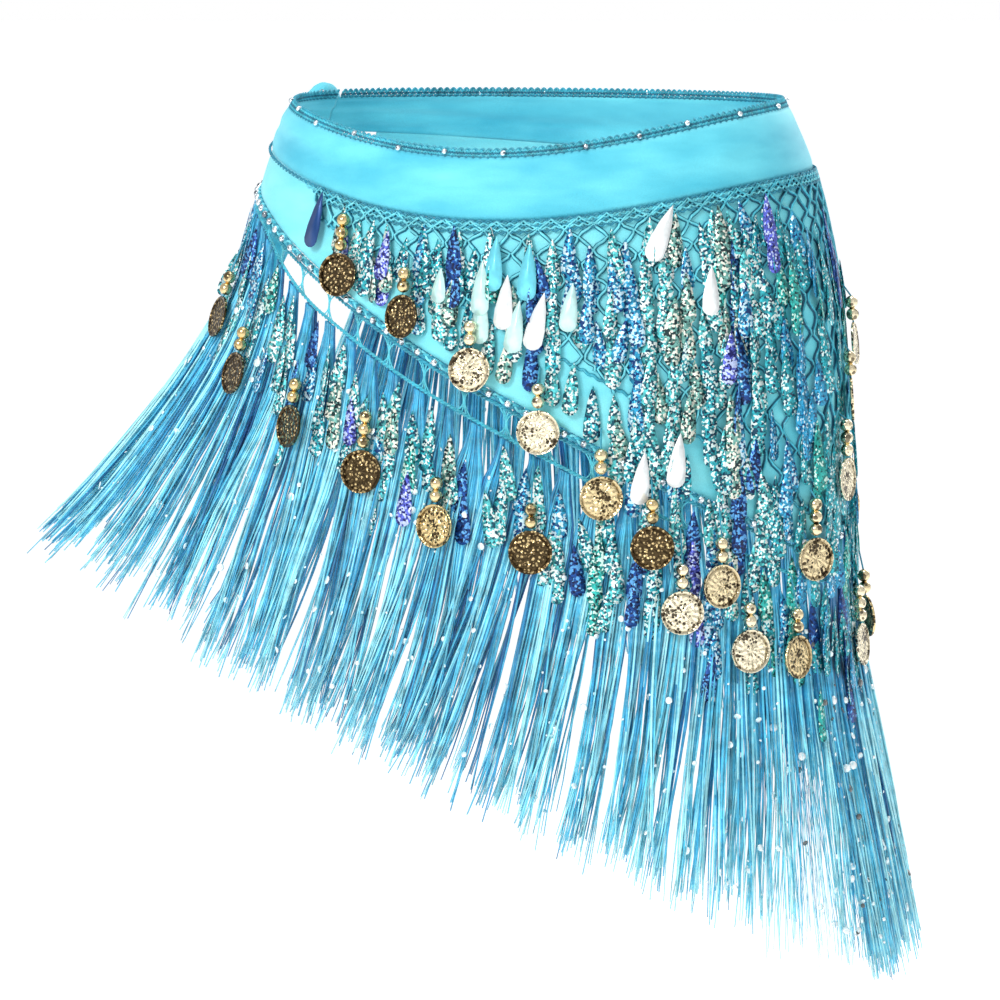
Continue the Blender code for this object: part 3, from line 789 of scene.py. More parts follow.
def give(mesh: bpy.types.Mesh, name: str, values: Array) -> None:
    """Give every point a number for its material.

    Args:
        mesh: The mesh.
        name: The attribute's name.
        values: One number for each point, or for each repeated shape.
    """
    values = np.atleast_1d(np.asarray(values, dtype=np.float32)).ravel()
    layer = mesh.attributes.new(name, "FLOAT", "POINT")
    layer.data.foreach_set("value", np.repeat(values, len(mesh.vertices) // len(values)))


def repeated(template: bmesh.types.BMesh, count: int) -> bpy.types.Mesh:
    """Lay copies of a small shape into one mesh.

    Args:
        template: The shape, which is freed.
        count: How many copies.

    Returns:
        The mesh, its copies one after the other.
    """
    single = to_mesh(template)
    whole = bmesh.new()
    for _ in range(count):
        whole.from_mesh(single)
    bpy.data.meshes.remove(single)
    return to_mesh(whole)


@dataclass
class Placing:
    """Where each copy of a small shape goes: its middle, its axes and its size along each axis."""

    middle: Array
    side: Array
    away: Array
    up: Array
    size: Array | float = 1.0

    def copies(self, template: bmesh.types.BMesh) -> bpy.types.Mesh:
        """Lay a copy of a small shape at each place.

        Args:
            template: The shape, which is freed.

        Returns:
            The mesh.
        """
        count = len(self.middle)
        mesh = repeated(template, count)
        local = points_of(mesh).reshape(count, -1, 3) * np.broadcast_to(self.size, (count, 3))[:, None, :]
        axes = np.stack((self.side, self.away, self.up), axis=1)
        moved = np.einsum("nvi,nij->nvj", local, axes) + self.middle[:, None, :]
        move_points(mesh, moved.reshape(-1, 3))
        return mesh


def turned(first: Array, second: Array, degrees: Array) -> tuple[Array, Array]:
    """Turn a pair of axes in their own plane.

    Args:
        first: Unit vectors.
        second: Unit vectors square to them.
        degrees: The turns.

    Returns:
        Both axes, turned.
    """
    cosine = np.cos(np.radians(degrees))[:, None]
    sine = np.sin(np.radians(degrees))[:, None]
    return first * cosine + second * sine, second * cosine - first * sine


def tube_template(rings: int, sides: int) -> bmesh.types.BMesh:
    """A closed tube whose points still hold their side in X and their ring in Y.

    Args:
        rings: Rings along the tube.
        sides: Sides round it.

    Returns:
        The shape.
    """
    shape = bmesh.new()
    bmesh.ops.create_grid(shape, x_segments=sides, y_segments=rings - 1, size=0.5)
    for vert in shape.verts:
        vert.co = (round((vert.co.x + 0.5) * sides), round((0.5 - vert.co.y) * (rings - 1)), 0.0)
    first = {round(vert.co.y): vert for vert in shape.verts if round(vert.co.x) == 0}
    pairs = {vert: first[round(vert.co.y)] for vert in shape.verts if round(vert.co.x) == sides}
    bmesh.ops.weld_verts(shape, targetmap=pairs)
    rims = [edge for edge in shape.edges if edge.is_boundary]
    bmesh.ops.holes_fill(shape, edges=rims, sides=0)
    return shape


def tubes(paths: Array, radii: Array | float, sides: int, away: Array) -> bpy.types.Mesh:
    """Round cords along one path or many, in one mesh.

    Args:
        paths: Points, as (cord, ring, 3), or as (ring, 3) for one cord.
        radii: One radius, or one for each point.
        sides: Sides round each cord.
        away: Directions that are not along the cord, for each ring or each point.

    Returns:
        The mesh.
    """
    paths = paths.reshape(-1, *paths.shape[-2:])
    count, rings = paths.shape[:2]
    mesh = repeated(tube_template(rings, sides), count)
    marks = points_of(mesh).reshape(count, -1, 3)
    side = np.rint(marks[..., 0]).astype(int)
    ring = np.rint(marks[..., 1]).astype(int)
    along = unit(np.gradient(paths, axis=1))
    across = unit(np.cross(along, away))
    over = np.cross(across, along)
    cord = np.arange(count)[:, None]
    turn = side * (2.0 * math.pi / sides)
    radius = np.broadcast_to(radii, (count, rings))[cord, ring][..., None]
    offset = across[cord, ring] * np.cos(turn)[..., None] + over[cord, ring] * np.sin(turn)[..., None]
    move_points(mesh, (paths[cord, ring] + offset * radius).reshape(-1, 3))
    face_out(mesh)
    return mesh


def face_out(mesh: bpy.types.Mesh) -> None:
    """Turn a closed mesh's faces outwards, all pieces alike, by the sign of the space inside."""
    shape = bmesh.new()
    shape.from_mesh(mesh)
    if shape.calc_volume(signed=True) < 0.0:
        bmesh.ops.reverse_faces(shape, faces=shape.faces[:])
    shape.to_mesh(mesh)
    shape.free()


def merged(parts: list[tuple[bpy.types.Mesh, float]]) -> bpy.types.Mesh:
    """Put several meshes into one.

    Args:
        parts: Meshes, which are freed, each with its tone.

    Returns:
        The mesh, with the tones of all.
    """
    whole = bmesh.new()
    tones = []
    for mesh, tone in parts:
        tones.append(np.full(len(mesh.vertices), tone))
        whole.from_mesh(mesh)
        bpy.data.meshes.remove(mesh)
    mesh = to_mesh(whole)
    give(mesh, "tone", np.concatenate(tones))
    return mesh


@dataclass
class ClothShell:
    """A sheet of cloth, laid out flat on a grid, worn on the form and given its thickness."""

    angles: Array
    rows: int
    thickness: float

    def flat(self) -> tuple[bpy.types.Mesh, Array, Array]:
        """Lay out the grid.

        Returns:
            The mesh, each point's angle, and its share of the way down.
        """
        columns = len(self.angles) - 1
        shape = bmesh.new()
        bmesh.ops.create_grid(shape, x_segments=columns, y_segments=self.rows, size=0.5, calc_uvs=False)
        mesh = to_mesh(shape)
        marks = points_of(mesh)
        column = np.rint((marks[:, 0] + 0.5) * columns).astype(int)
        return mesh, self.angles[column], 0.5 - marks[:, 1]

    def wear(self, mesh: bpy.types.Mesh, points: Array) -> bpy.types.Mesh:
        """Move the grid to its worn places and give it its wall, outwards.

        Args:
            mesh: The flat mesh.
            points: The inner face's places.

        Returns:
            The closed shell.
        """
        move_points(mesh, points)
        shape = bmesh.new()
        shape.from_mesh(mesh)
        shape.normal_update()
        shape.faces.ensure_lookup_table()
        middle = shape.faces[len(shape.faces) // 2]
        spot = middle.calc_center_median()
        if middle.normal.dot(Vector((spot.x, spot.y, 0.0))) < 0.0:
            bmesh.ops.reverse_faces(shape, faces=shape.faces[:])
        bmesh.ops.solidify(shape, geom=shape.faces[:], thickness=-self.thickness)
        shape.to_mesh(mesh)
        shape.free()
        face_out(mesh)
        return mesh


@dataclass
class Dressed:
    """A sub-assembly of the scarf, with the finishes that dress it."""

    wardrobe: Wardrobe


@dataclass
class Waistband(Dressed):
    """The plain band, with soft creases that run out from the tie."""

    columns: int = 420
    rows: int = 14
    thickness: float = 0.0016
    lift: float = 0.0003
    end_gap: float = 0.1
    pleat: float = 0.00055
    pleat_spread: float = 34.0
    crease: float = 0.0007
    fold: float = 0.0012
    long_folds: tuple[tuple[float, float, float, float], ...] = (
        (-75.0, 40.0, 0.20, 0.62),
        (-20.0, 85.0, 0.85, 0.35),
        (110.0, 215.0, 0.30, 0.70),
        (150.0, 250.0, 0.80, 0.45),
    )
    short_creases: tuple[tuple[float, float, float, float], ...] = (
        (1.0, 9.0, 66.0, 5.0),
        (0.7, -12.0, 214.0, 7.0),
        (0.8, 14.0, -58.0, 6.0),
        (0.5, -8.0, 132.0, 6.0),
    )
    fold_width: float = 0.13
    fold_fade: float = 0.25
    plain_edge: float = 0.12

    def creases(self, angle: Array, share: Array) -> Array:
        """How far the cloth stands out at each point.

        Args:
            angle: Angles round the hips.
            share: Shares of the way down the band.

        Returns:
            Heights of the creases.
        """
        gathered = bump(angle, FORM.tie_angle, self.pleat_spread)
        folds = self.pleat * gathered * (1.0 + np.sin(share * 17.0 + 0.05 * angle))
        soft = 1.0 + np.sin(angle * 0.16 + share * 5.2 + 1.8 * np.sin(angle * 0.047))
        slant = sum(size * bump(angle + lean * share, place, width) for size, lean, place, width in self.short_creases)
        long = np.zeros_like(share)
        for start, end, high, low in self.long_folds:
            along = (angle - start) / (end - start)
            fade = ramp(along / self.fold_fade) * ramp((1.0 - along) / self.fold_fade)
            long = long + fade * np.exp(-(((share - high - (low - high) * along) / self.fold_width) ** 2))
        return folds + self.crease * (0.35 * soft + slant) + self.fold * long

    def build(self) -> bpy.types.Object:
        """Build the band.

        Returns:
            The band.
        """
        start = FORM.tie_angle + self.end_gap
        angles = np.linspace(start, start + 360.0 - 2.0 * self.end_gap, self.columns + 1)
        shell = ClothShell(angles, self.rows, self.thickness)
        mesh, angle, share = shell.flat()
        height = FORM.band_top(angle) + (FORM.seam(angle) - FORM.band_top(angle)) * share
        edge = ramp(np.minimum(share, 1.0 - share) / self.plain_edge)
        out = self.lift * edge + self.creases(angle, share) * edge
        mesh = shell.wear(mesh, FORM.worn(angle, height, out))
        return put("waistband_cloth", mesh, self.wardrobe.velvet, ("waistband",))

    def flat_size(self) -> tuple[float, float, float]:
        """The band's cut width, length and area."""
        angles = np.linspace(FORM.tie_angle, FORM.tie_angle + 360.0, 361)
        drop = FORM.band_top(angles) - FORM.seam(angles)
        around = float(FORM.arc(FORM.tie_angle + 360.0))
        return around, float(drop.max()), float(drop.mean()) * around


@dataclass
class WaistTrim(Dressed):
    """The crochet edging over the band's top edge: rows of wavy chain, picot loops and small dark beads."""

    picot: float = 0.0042
    picot_foot: float = 0.0026
    picot_rise: float = 0.0020
    picot_tone: float = 0.45
    end_gap: float = 0.001
    rows: tuple[tuple[float, float, float], ...] = (
        (0.0003, 0.0004, 0.30),
        (0.0013, 0.0005, 0.62),
        (0.0023, 0.0005, 0.22),
        (0.0033, 0.0005, 0.70),
    )
    rings_each: int = 8
    radius: float = 0.00062
    out: float = 0.0011
    bead_pitch: float = 0.034
    bead_radius: float = 0.0016
    bead_out: float = 0.0022
    bead_stray: float = 0.006
    bead_heights: Zone = (0.0010, 0.0036)
    seed: int = 5

    def cord(self, lift: Array, length: Array) -> bpy.types.Mesh:
        """One cord along the band's top edge.

        Args:
            lift: Heights over the band's top edge.
            length: Distances round the form.

        Returns:
            The mesh.
        """
        angle = FORM.angle_at(length)
        height = FORM.band_top(angle) + lift
        waver = self.out + 0.0003 * np.sin(length / self.picot * 2.0 * math.pi)
        return tubes(FORM.worn(angle, height, waver), self.radius, 4, FORM.outward(angle, height))

    def build(self) -> list[bpy.types.Object]:
        """Build the edging.

        Returns:
            The yarn and its beads.
        """
        whole = float(FORM.arc(FORM.tie_angle + 360.0)) - 2.0 * self.end_gap
        loops = round(whole / self.picot)
        length = np.linspace(self.end_gap, whole, loops * self.rings_each + 1)
        turn = length / whole * loops * math.pi
        picots = self.picot_foot + self.picot_rise * np.abs(np.sin(turn)) ** 0.8
        parts = [(self.cord(picots, length), self.picot_tone)]
        for index, (height, sway, tone) in enumerate(self.rows):
            parts.append((self.cord(height + sway * np.sin(turn * 4.0 + index * math.pi), length), tone))
        yarn = put("waist_trim_yarn", merged(parts), self.wardrobe.yarn, ("waist_trim",))
        rng = np.random.default_rng(self.seed)
        places = np.arange(0.012, whole - 0.01, self.bead_pitch)
        places = places + rng.uniform(-self.bead_stray, self.bead_stray, len(places))
        angle = FORM.angle_at(places)
        height = FORM.band_top(angle) + rng.uniform(*self.bead_heights, len(places))
        beads = bead_row(angle, height, self.bead_out, self.bead_radius)
        return [yarn, put("waist_trim_beads", beads, self.wardrobe.silver)]


def ball(segments: int, rings: int) -> bmesh.types.BMesh:
    """A sphere of radius 1, as a template."""
    shape = bmesh.new()
    bmesh.ops.create_uvsphere(shape, u_segments=segments, v_segments=rings, radius=1.0)
    return shape


def bead_row(angle: Array, height: Array, out: float, radius: float) -> bpy.types.Mesh:
    """Round beads on the cloth.

    Args:
        angle: Angles round the hips.
        height: Heights.
        out: The distance out from the cloth.
        radius: The beads' radius.

    Returns:
        The mesh.
    """
    side, away, up = FORM.hung_axes(angle, height, np.full(len(angle), out))
    return Placing(FORM.over_cloth(angle, height, out), side, away, up, radius).copies(ball(10, 7))


@dataclass
class HipPanel(Dressed):
    """The triangle of cloth under the band."""

    columns: int = 320
    rows: int = 26
    thickness: float = 0.0012
    wrinkle: float = 0.0004
    plain_edge: float = 0.12

    def build(self) -> bpy.types.Object:
        """Build the panel.

        Returns:
            The panel.
        """
        angles = np.linspace(FORM.panel_start, FORM.panel_end, self.columns + 1)
        shell = ClothShell(angles, self.rows, self.thickness)
        mesh, angle, share = shell.flat()
        height = FORM.panel_top(angle) + (FORM.panel_edge(angle) - FORM.panel_top(angle)) * share
        soft = 1.0 + np.sin(angle * 0.21 + height * 40.0) * np.sin(angle * 0.083 - height * 55.0 + 1.0)
        edge = ramp(np.minimum(share, 1.0 - share) / self.plain_edge)
        out = FORM.fold(angle, height) + self.wrinkle * soft * edge
        mesh = shell.wear(mesh, FORM.worn(angle, height, out))
        return put("hip_panel_cloth", mesh, self.wardrobe.panel, ("hip_panel",))

    def flat_size(self) -> tuple[float, float, float]:
        """The panel's cut width, length and area."""
        angles = np.linspace(FORM.panel_start, FORM.panel_end, 651)
        length = FORM.arc(angles)
        drop = FORM.panel_top(angles) - FORM.panel_edge(angles)
        return float(length[-1] - length[0]), float(drop.max()), float(np.trapz(drop, length))


@dataclass
class SeamEdging(Dressed):
    """The fine chains sewn under the waistband's seam: one all along, more over the head of the net."""

    wave: float = 0.0046
    sway: float = 0.0006
    rings_each: int = 6
    radius: float = 0.00055
    out: float = 0.0030
    chains: tuple[tuple[float, float, float, float], ...] = (
        (0.0006, -84.0, 239.0, 0.30),
        (0.0019, -34.0, 201.0, 0.78),
        (0.0032, -31.0, 199.0, 0.40),
        (0.0046, -29.0, 197.0, 0.85),
        (0.0060, -27.0, 195.0, 0.30),
    )

    def build(self) -> list[bpy.types.Object]:
        """Build the edging.

        Returns:
            The yarn.
        """
        parts = []
        for index, (drop, start, end, tone) in enumerate(self.chains):
            first, last = FORM.stretch(start, end)
            length = np.linspace(first, last, round((last - first) / self.wave * self.rings_each) + 1)
            angle = FORM.angle_at(length)
            turn = length / self.wave * 2.0 * math.pi + index * math.pi
            height = FORM.seam(angle) - drop + self.sway * np.sin(turn)
            points = FORM.laid(angle, height, self.out + 0.0002 * np.cos(turn))
            parts.append((tubes(points, self.radius, 4, FORM.outward(angle, height)), tone))
        return [put("seam_edging_yarn", merged(parts), self.wardrobe.yarn)]


@dataclass
class CrochetNet(Dressed):
    """The diamond net over the panel: pale zigzag strings on wider dark cords, which meet in rows; the dark cords are
    painted shadow outlines.
    """

    start: float = -30.0
    end: float = 200.0
    pitch: float = 0.0070
    row: float = 0.0054
    row_growth: float = 0.028
    uneven: float = 0.0011
    out: float = 0.0020
    rings_each: int = 3
    shadow_cord_radius: float = 0.00115
    shadow_cord_tone: float = 0.22
    top_lift: float = 0.0010
    top_radius: float = 0.00064
    top_tone: float = 0.86
    border_radius: float = 0.0008
    border_rings: int = 900
    border_tone: float = 0.5
    darker: Between = (40.0, 40.0, 150.0, 30.0)

    def strings(self) -> list[tuple[Array, Array, float]]:
        """The strings' lines.

        Returns:
            Points, directions out from the cloth and the angle of each string.
        """
        first, last = FORM.stretch(self.start, self.end)
        count = round((last - first) / self.pitch)
        strings = []
        for index in range(count + 1):
            middle = first + (last - first) * index / count
            angle = float(FORM.angle_at(middle))
            drop = (float(FORM.panel_top(angle)) - float(FORM.net_edge(angle))) / self.row
            rows = (math.sqrt(1.0 + 4.0 * self.row_growth * drop) - 1.0) / (2.0 * self.row_growth)
            share = np.linspace(0.0, rows, round(rows * self.rings_each) + 2)
            swing = np.abs((share + (index % 2)) % 2.0 - 1.0) * 2.0 - 1.0
            rounded = np.sign(swing) * np.abs(swing) ** 0.8
            length = np.clip(middle + rounded * self.pitch * 0.50, first, last)
            angles = FORM.angle_at(length)
            height = FORM.panel_top(angles) - self.row * (share + self.row_growth * share**2)
            settled = ramp(share / 2.0) * self.uneven
            angles = FORM.angle_at(length + settled * np.sin(length * 190.0 + height * 260.0))
            height = height + settled * np.sin(length * 230.0 - height * 170.0 + 1.0)
            strings.append((FORM.laid(angles, height, self.out), FORM.outward(angles, height), angle))
        return strings

    def build(self) -> list[bpy.types.Object]:
        """Build the net.

        Returns:
            The net.
        """
        parts = []
        for points, away, angle in self.strings():
            # Painted shade: both cords are darker round the shaded side.
            side = float(between(angle, *self.darker))
            parts.append((tubes(points, self.shadow_cord_radius, 4, away), self.shadow_cord_tone - 0.14 * side))
            parts.append((tubes(points + away * self.top_lift, self.top_radius, 4, away), self.top_tone - 0.26 * side))
        length = np.linspace(*FORM.stretch(self.start, self.end), self.border_rings)
        angle = FORM.angle_at(length)
        height = FORM.net_edge(angle) + 0.0005 * np.sin(length * 1400.0)
        border = tubes(FORM.laid(angle, height, self.out), self.border_radius, 4, FORM.outward(angle, height))
        parts.append((border, self.border_tone))
        return [put("crochet_net_yarn", merged(parts), self.wardrobe.yarn, ("crochet_net",))]


@dataclass
class EdgeBraid(Dressed):
    """The braid along the panel's cut edges, with a silver bead every 9 mm."""

    wave: float = 0.0074
    radius: float = 0.00078
    sway: float = 0.0012
    depth: float = 0.0005
    rings_each: int = 9
    out: float = 0.0013
    tones: tuple[float, ...] = (0.35, 0.62, 0.85)
    bead_pitch: float = 0.0090
    bead_radius: float = 0.0020
    bead_out: float = 0.0026

    def middle(self, angle: Array) -> Array:
        """The height of the braid's middle."""
        return FORM.panel_edge(angle) - FORM.seam_gap - FORM.braid_height / 2.0

    def build(self) -> list[bpy.types.Object]:
        """Build the braid.

        Returns:
            The braid and its beads.
        """
        first, last = FORM.stretch(FORM.panel_start, FORM.panel_end)
        rings = round((last - first) / self.wave * self.rings_each)
        length = np.linspace(first, last, rings + 1)
        angle = FORM.angle_at(length)
        paths = []
        for strand in range(len(self.tones)):
            turn = (length - first) / self.wave * 2.0 * math.pi + strand * 2.0 * math.pi / 3.0
            height = self.middle(angle) + self.sway * np.sin(turn)
            paths.append(FORM.laid(angle, height, self.out + self.depth * np.sin(2.0 * turn)))
        mesh = tubes(np.array(paths), self.radius, 5, FORM.outward(angle, self.middle(angle)))
        give(mesh, "tone", np.array(self.tones))
        braid = put("edge_braid_yarn", mesh, self.wardrobe.yarn, ("edge_braid",))
        angle = FORM.angle_at(np.arange(first + 0.004, last, self.bead_pitch))
        beads = bead_row(angle, self.middle(angle), self.bead_out, self.bead_radius)
        return [braid, put("edge_braid_beads", beads, self.wardrobe.silver)]


@dataclass
class Ladder(Dressed):
    """One side of the open crochet ladder under the braid."""

    name: str
    start: float
    end: float
    pitch: float = 0.0208
    bar: float = 0.0024
    rail: float = 0.0022
    out: float = 0.0012
    twist: float = 0.0044
    twist_height: float = 0.00055
    twist_depth: float = 0.00045
    rings_each: int = 7
    rail_radius: float = 0.00062
    bar_radius: float = 0.00042
    bar_spread: float = 0.0034
    leans: tuple[float, ...] = (-1.0, -0.35, 0.35, 1.0)

    def heights(self, angle: Array) -> tuple[Array, Array]:
        """The heights of the middles of both rails, the upper first."""
        half = self.rail / 2.0
        return FORM.braid_edge(angle) - FORM.wide_gap - half, FORM.ladder_edge(angle) + half

    def rail_paths(self, which: int) -> tuple[Array, Array]:
        """The two twisted cords of one rail.

        Args:
            which: 0 for the upper rail, 1 for the lower.

        Returns:
            The paths and the outward directions along them.
        """
        first, last = FORM.stretch(self.start, self.end)
        length = np.linspace(first, last, round((last - first) / self.twist * self.rings_each) + 1)
        angle = FORM.angle_at(length)
        middle = self.heights(angle)[which]
        paths = []
        for strand in range(2):
            turn = (length - first) / self.twist * 2.0 * math.pi + strand * math.pi
            height = middle + self.twist_height * np.sin(turn)
            paths.append(FORM.laid(angle, height, self.out + self.twist_depth * np.cos(turn)))
        return np.array(paths), FORM.outward(angle, middle)

    def bar_paths(self) -> tuple[Array, Array]:
        """The threads across: bundles that are drawn together in the middle and spread at the rails.

        Returns:
            The paths and the outward directions along them.
        """
        first, last = FORM.stretch(self.start, self.end)
        bays = round((last - first - self.bar) / self.pitch)
        step = (last - first - self.bar) / bays
        paths, outs = [], []
        share = np.linspace(0.0, 1.0, 9)
        waist = np.abs(2.0 * share - 1.0) ** 2.2
        for index in range(bays + 1):
            middle = first + index * step + self.bar / 2.0
            for lean in self.leans:
                length = np.clip(middle + lean * (0.0004 + self.bar_spread * waist), first, last)
                angle = FORM.angle_at(length)
                top, low = self.heights(angle)
                height = top + (low - top) * share
                paths.append(FORM.laid(angle, height, np.full(share.shape, self.out + 0.0002 * lean)))
                outs.append(FORM.outward(angle, height))
        return np.array(paths), np.array(outs)

    def build(self) -> list[bpy.types.Object]:
        """Build the ladder.

        Returns:
            The ladder.
        """
        parts = []
        for (paths, outs), radius, tone in (
            (self.rail_paths(0), self.rail_radius, 0.45),
            (self.rail_paths(1), self.rail_radius, 0.60),
            (self.bar_paths(), self.bar_radius, 0.75),
        ):
            parts.append((tubes(paths, radius, 4, outs), tone))
        return [put(f"{self.name}_yarn", merged(parts), self.wardrobe.yarn, (self.name,))]


def teardrop() -> bmesh.types.BMesh:
    """A paillette 1 long and 1 wide that hangs from the origin: pointed above, round below and slightly domed."""
    shape = bmesh.new()
    bmesh.ops.create_circle(shape, cap_ends=True, radius=1.0, segments=14, matrix=STAND_UP)
    round_end = 0.17
    for vert in shape.verts:
        x, z = vert.co.x, vert.co.z
        if z < 0.0:
            vert.co = (x / 2.0, 0.0, -(1.0 - round_end) + round_end * z)
        else:
            vert.co = (math.copysign(abs(x) ** 2.0, x) / 2.0, 0.0, -(1.0 - round_end) * (1.0 - z))
    grown = bmesh.ops.extrude_face_region(shape, geom=shape.faces[:], use_keep_orig=True)
    walls = [item for item in grown["geom"] if isinstance(item, bmesh.types.BMVert)]
    bmesh.ops.translate(shape, verts=walls, vec=(0.0, 1.0, 0.0))
    ends = [face for face in shape.faces if len(face.verts) > 4]
    poked = bmesh.ops.poke(shape, faces=ends)
    for vert in poked["verts"]:
        vert.co.y += 1.3 if vert.co.y > 0.5 else -0.2
    bmesh.ops.recalc_face_normals(shape, faces=shape.faces[:])
    return shape


@dataclass(frozen=True)
class Column:
    """One column of paillettes: its angle, its drop below the seam, how many, its lean and its colour."""

    angle: float
    drop: float
    count: int
    lean: float
    kind: Shade
    size: float


CHOSEN_COLUMNS = (
    Column(47.5, 0.0026, 1, -27.0, Gloss.WHITE, 0.031),
    Column(54.5, 0.0356, 1, -6.0, Gloss.WHITE, 0.025),
    Column(39.8, 0.1215, 1, -8.0, Gloss.WHITE, 0.027),
    Column(46.5, 0.1150, 1, -7.0, Gloss.WHITE, 0.028),
    Column(10.7, 0.0200, 2, -2.0, Gloss.MINT, 0.028),
    Column(15.4, 0.0270, 1, -6.0, Gloss.WHITE, 0.028),
    Column(17.6, 0.0399, 1, -9.0, Gloss.MINT, 0.027),
    Column(22.1, 0.0366, 1, -14.0, Gloss.WHITE, 0.030),
    Column(27.3, 0.0330, 1, -8.0, Gloss.MINT, 0.025),
    Column(13.2, 0.0080, 1, -4.0, Gloss.AQUA, 0.028),
    Column(19.4, 0.0120, 1, -4.0, Gloss.AQUA, 0.029),
    Column(-26.4, 0.0010, 1, -9.0, Gloss.DEEP, 0.030),
    Column(2.9, 0.0248, 1, -2.0, Gloss.MINT, 0.018),
    Column(-20.5, 0.0030, 2, -6.0, Sparkle.CREAM, 0.026),
    Column(-12.0, 0.0060, 2, -9.0, Sparkle.SEA, 0.027),
    Column(-8.5, 0.0100, 2, -7.0, Sparkle.VIOLET, 0.026),
    Column(-1.5, 0.0040, 3, -2.0, Sparkle.SKY, 0.028),
    Column(4.9, 0.0030, 2, 3.0, Sparkle.NAVY, 0.028),
    Column(70.7, 0.0060, 2, -4.0, Sparkle.VIOLET, 0.027),
    Column(58.0, 0.0687, 1, -6.0, Sparkle.VIOLET, 0.028),
    Column(62.0, 0.0450, 1, -4.0, Sparkle.SKY, 0.030),
    Column(74.6, 0.0400, 2, 0.0, Sparkle.GREEN, 0.026),
    Column(57.5, 0.0064, 2, 0.0, Sparkle.CREAM, 0.028),
    Column(46.5, 0.0465, 2, -10.0, Sparkle.CREAM, 0.024),
    Column(57.0, 0.1000, 3, 4.0, Sparkle.CREAM, 0.027),
)


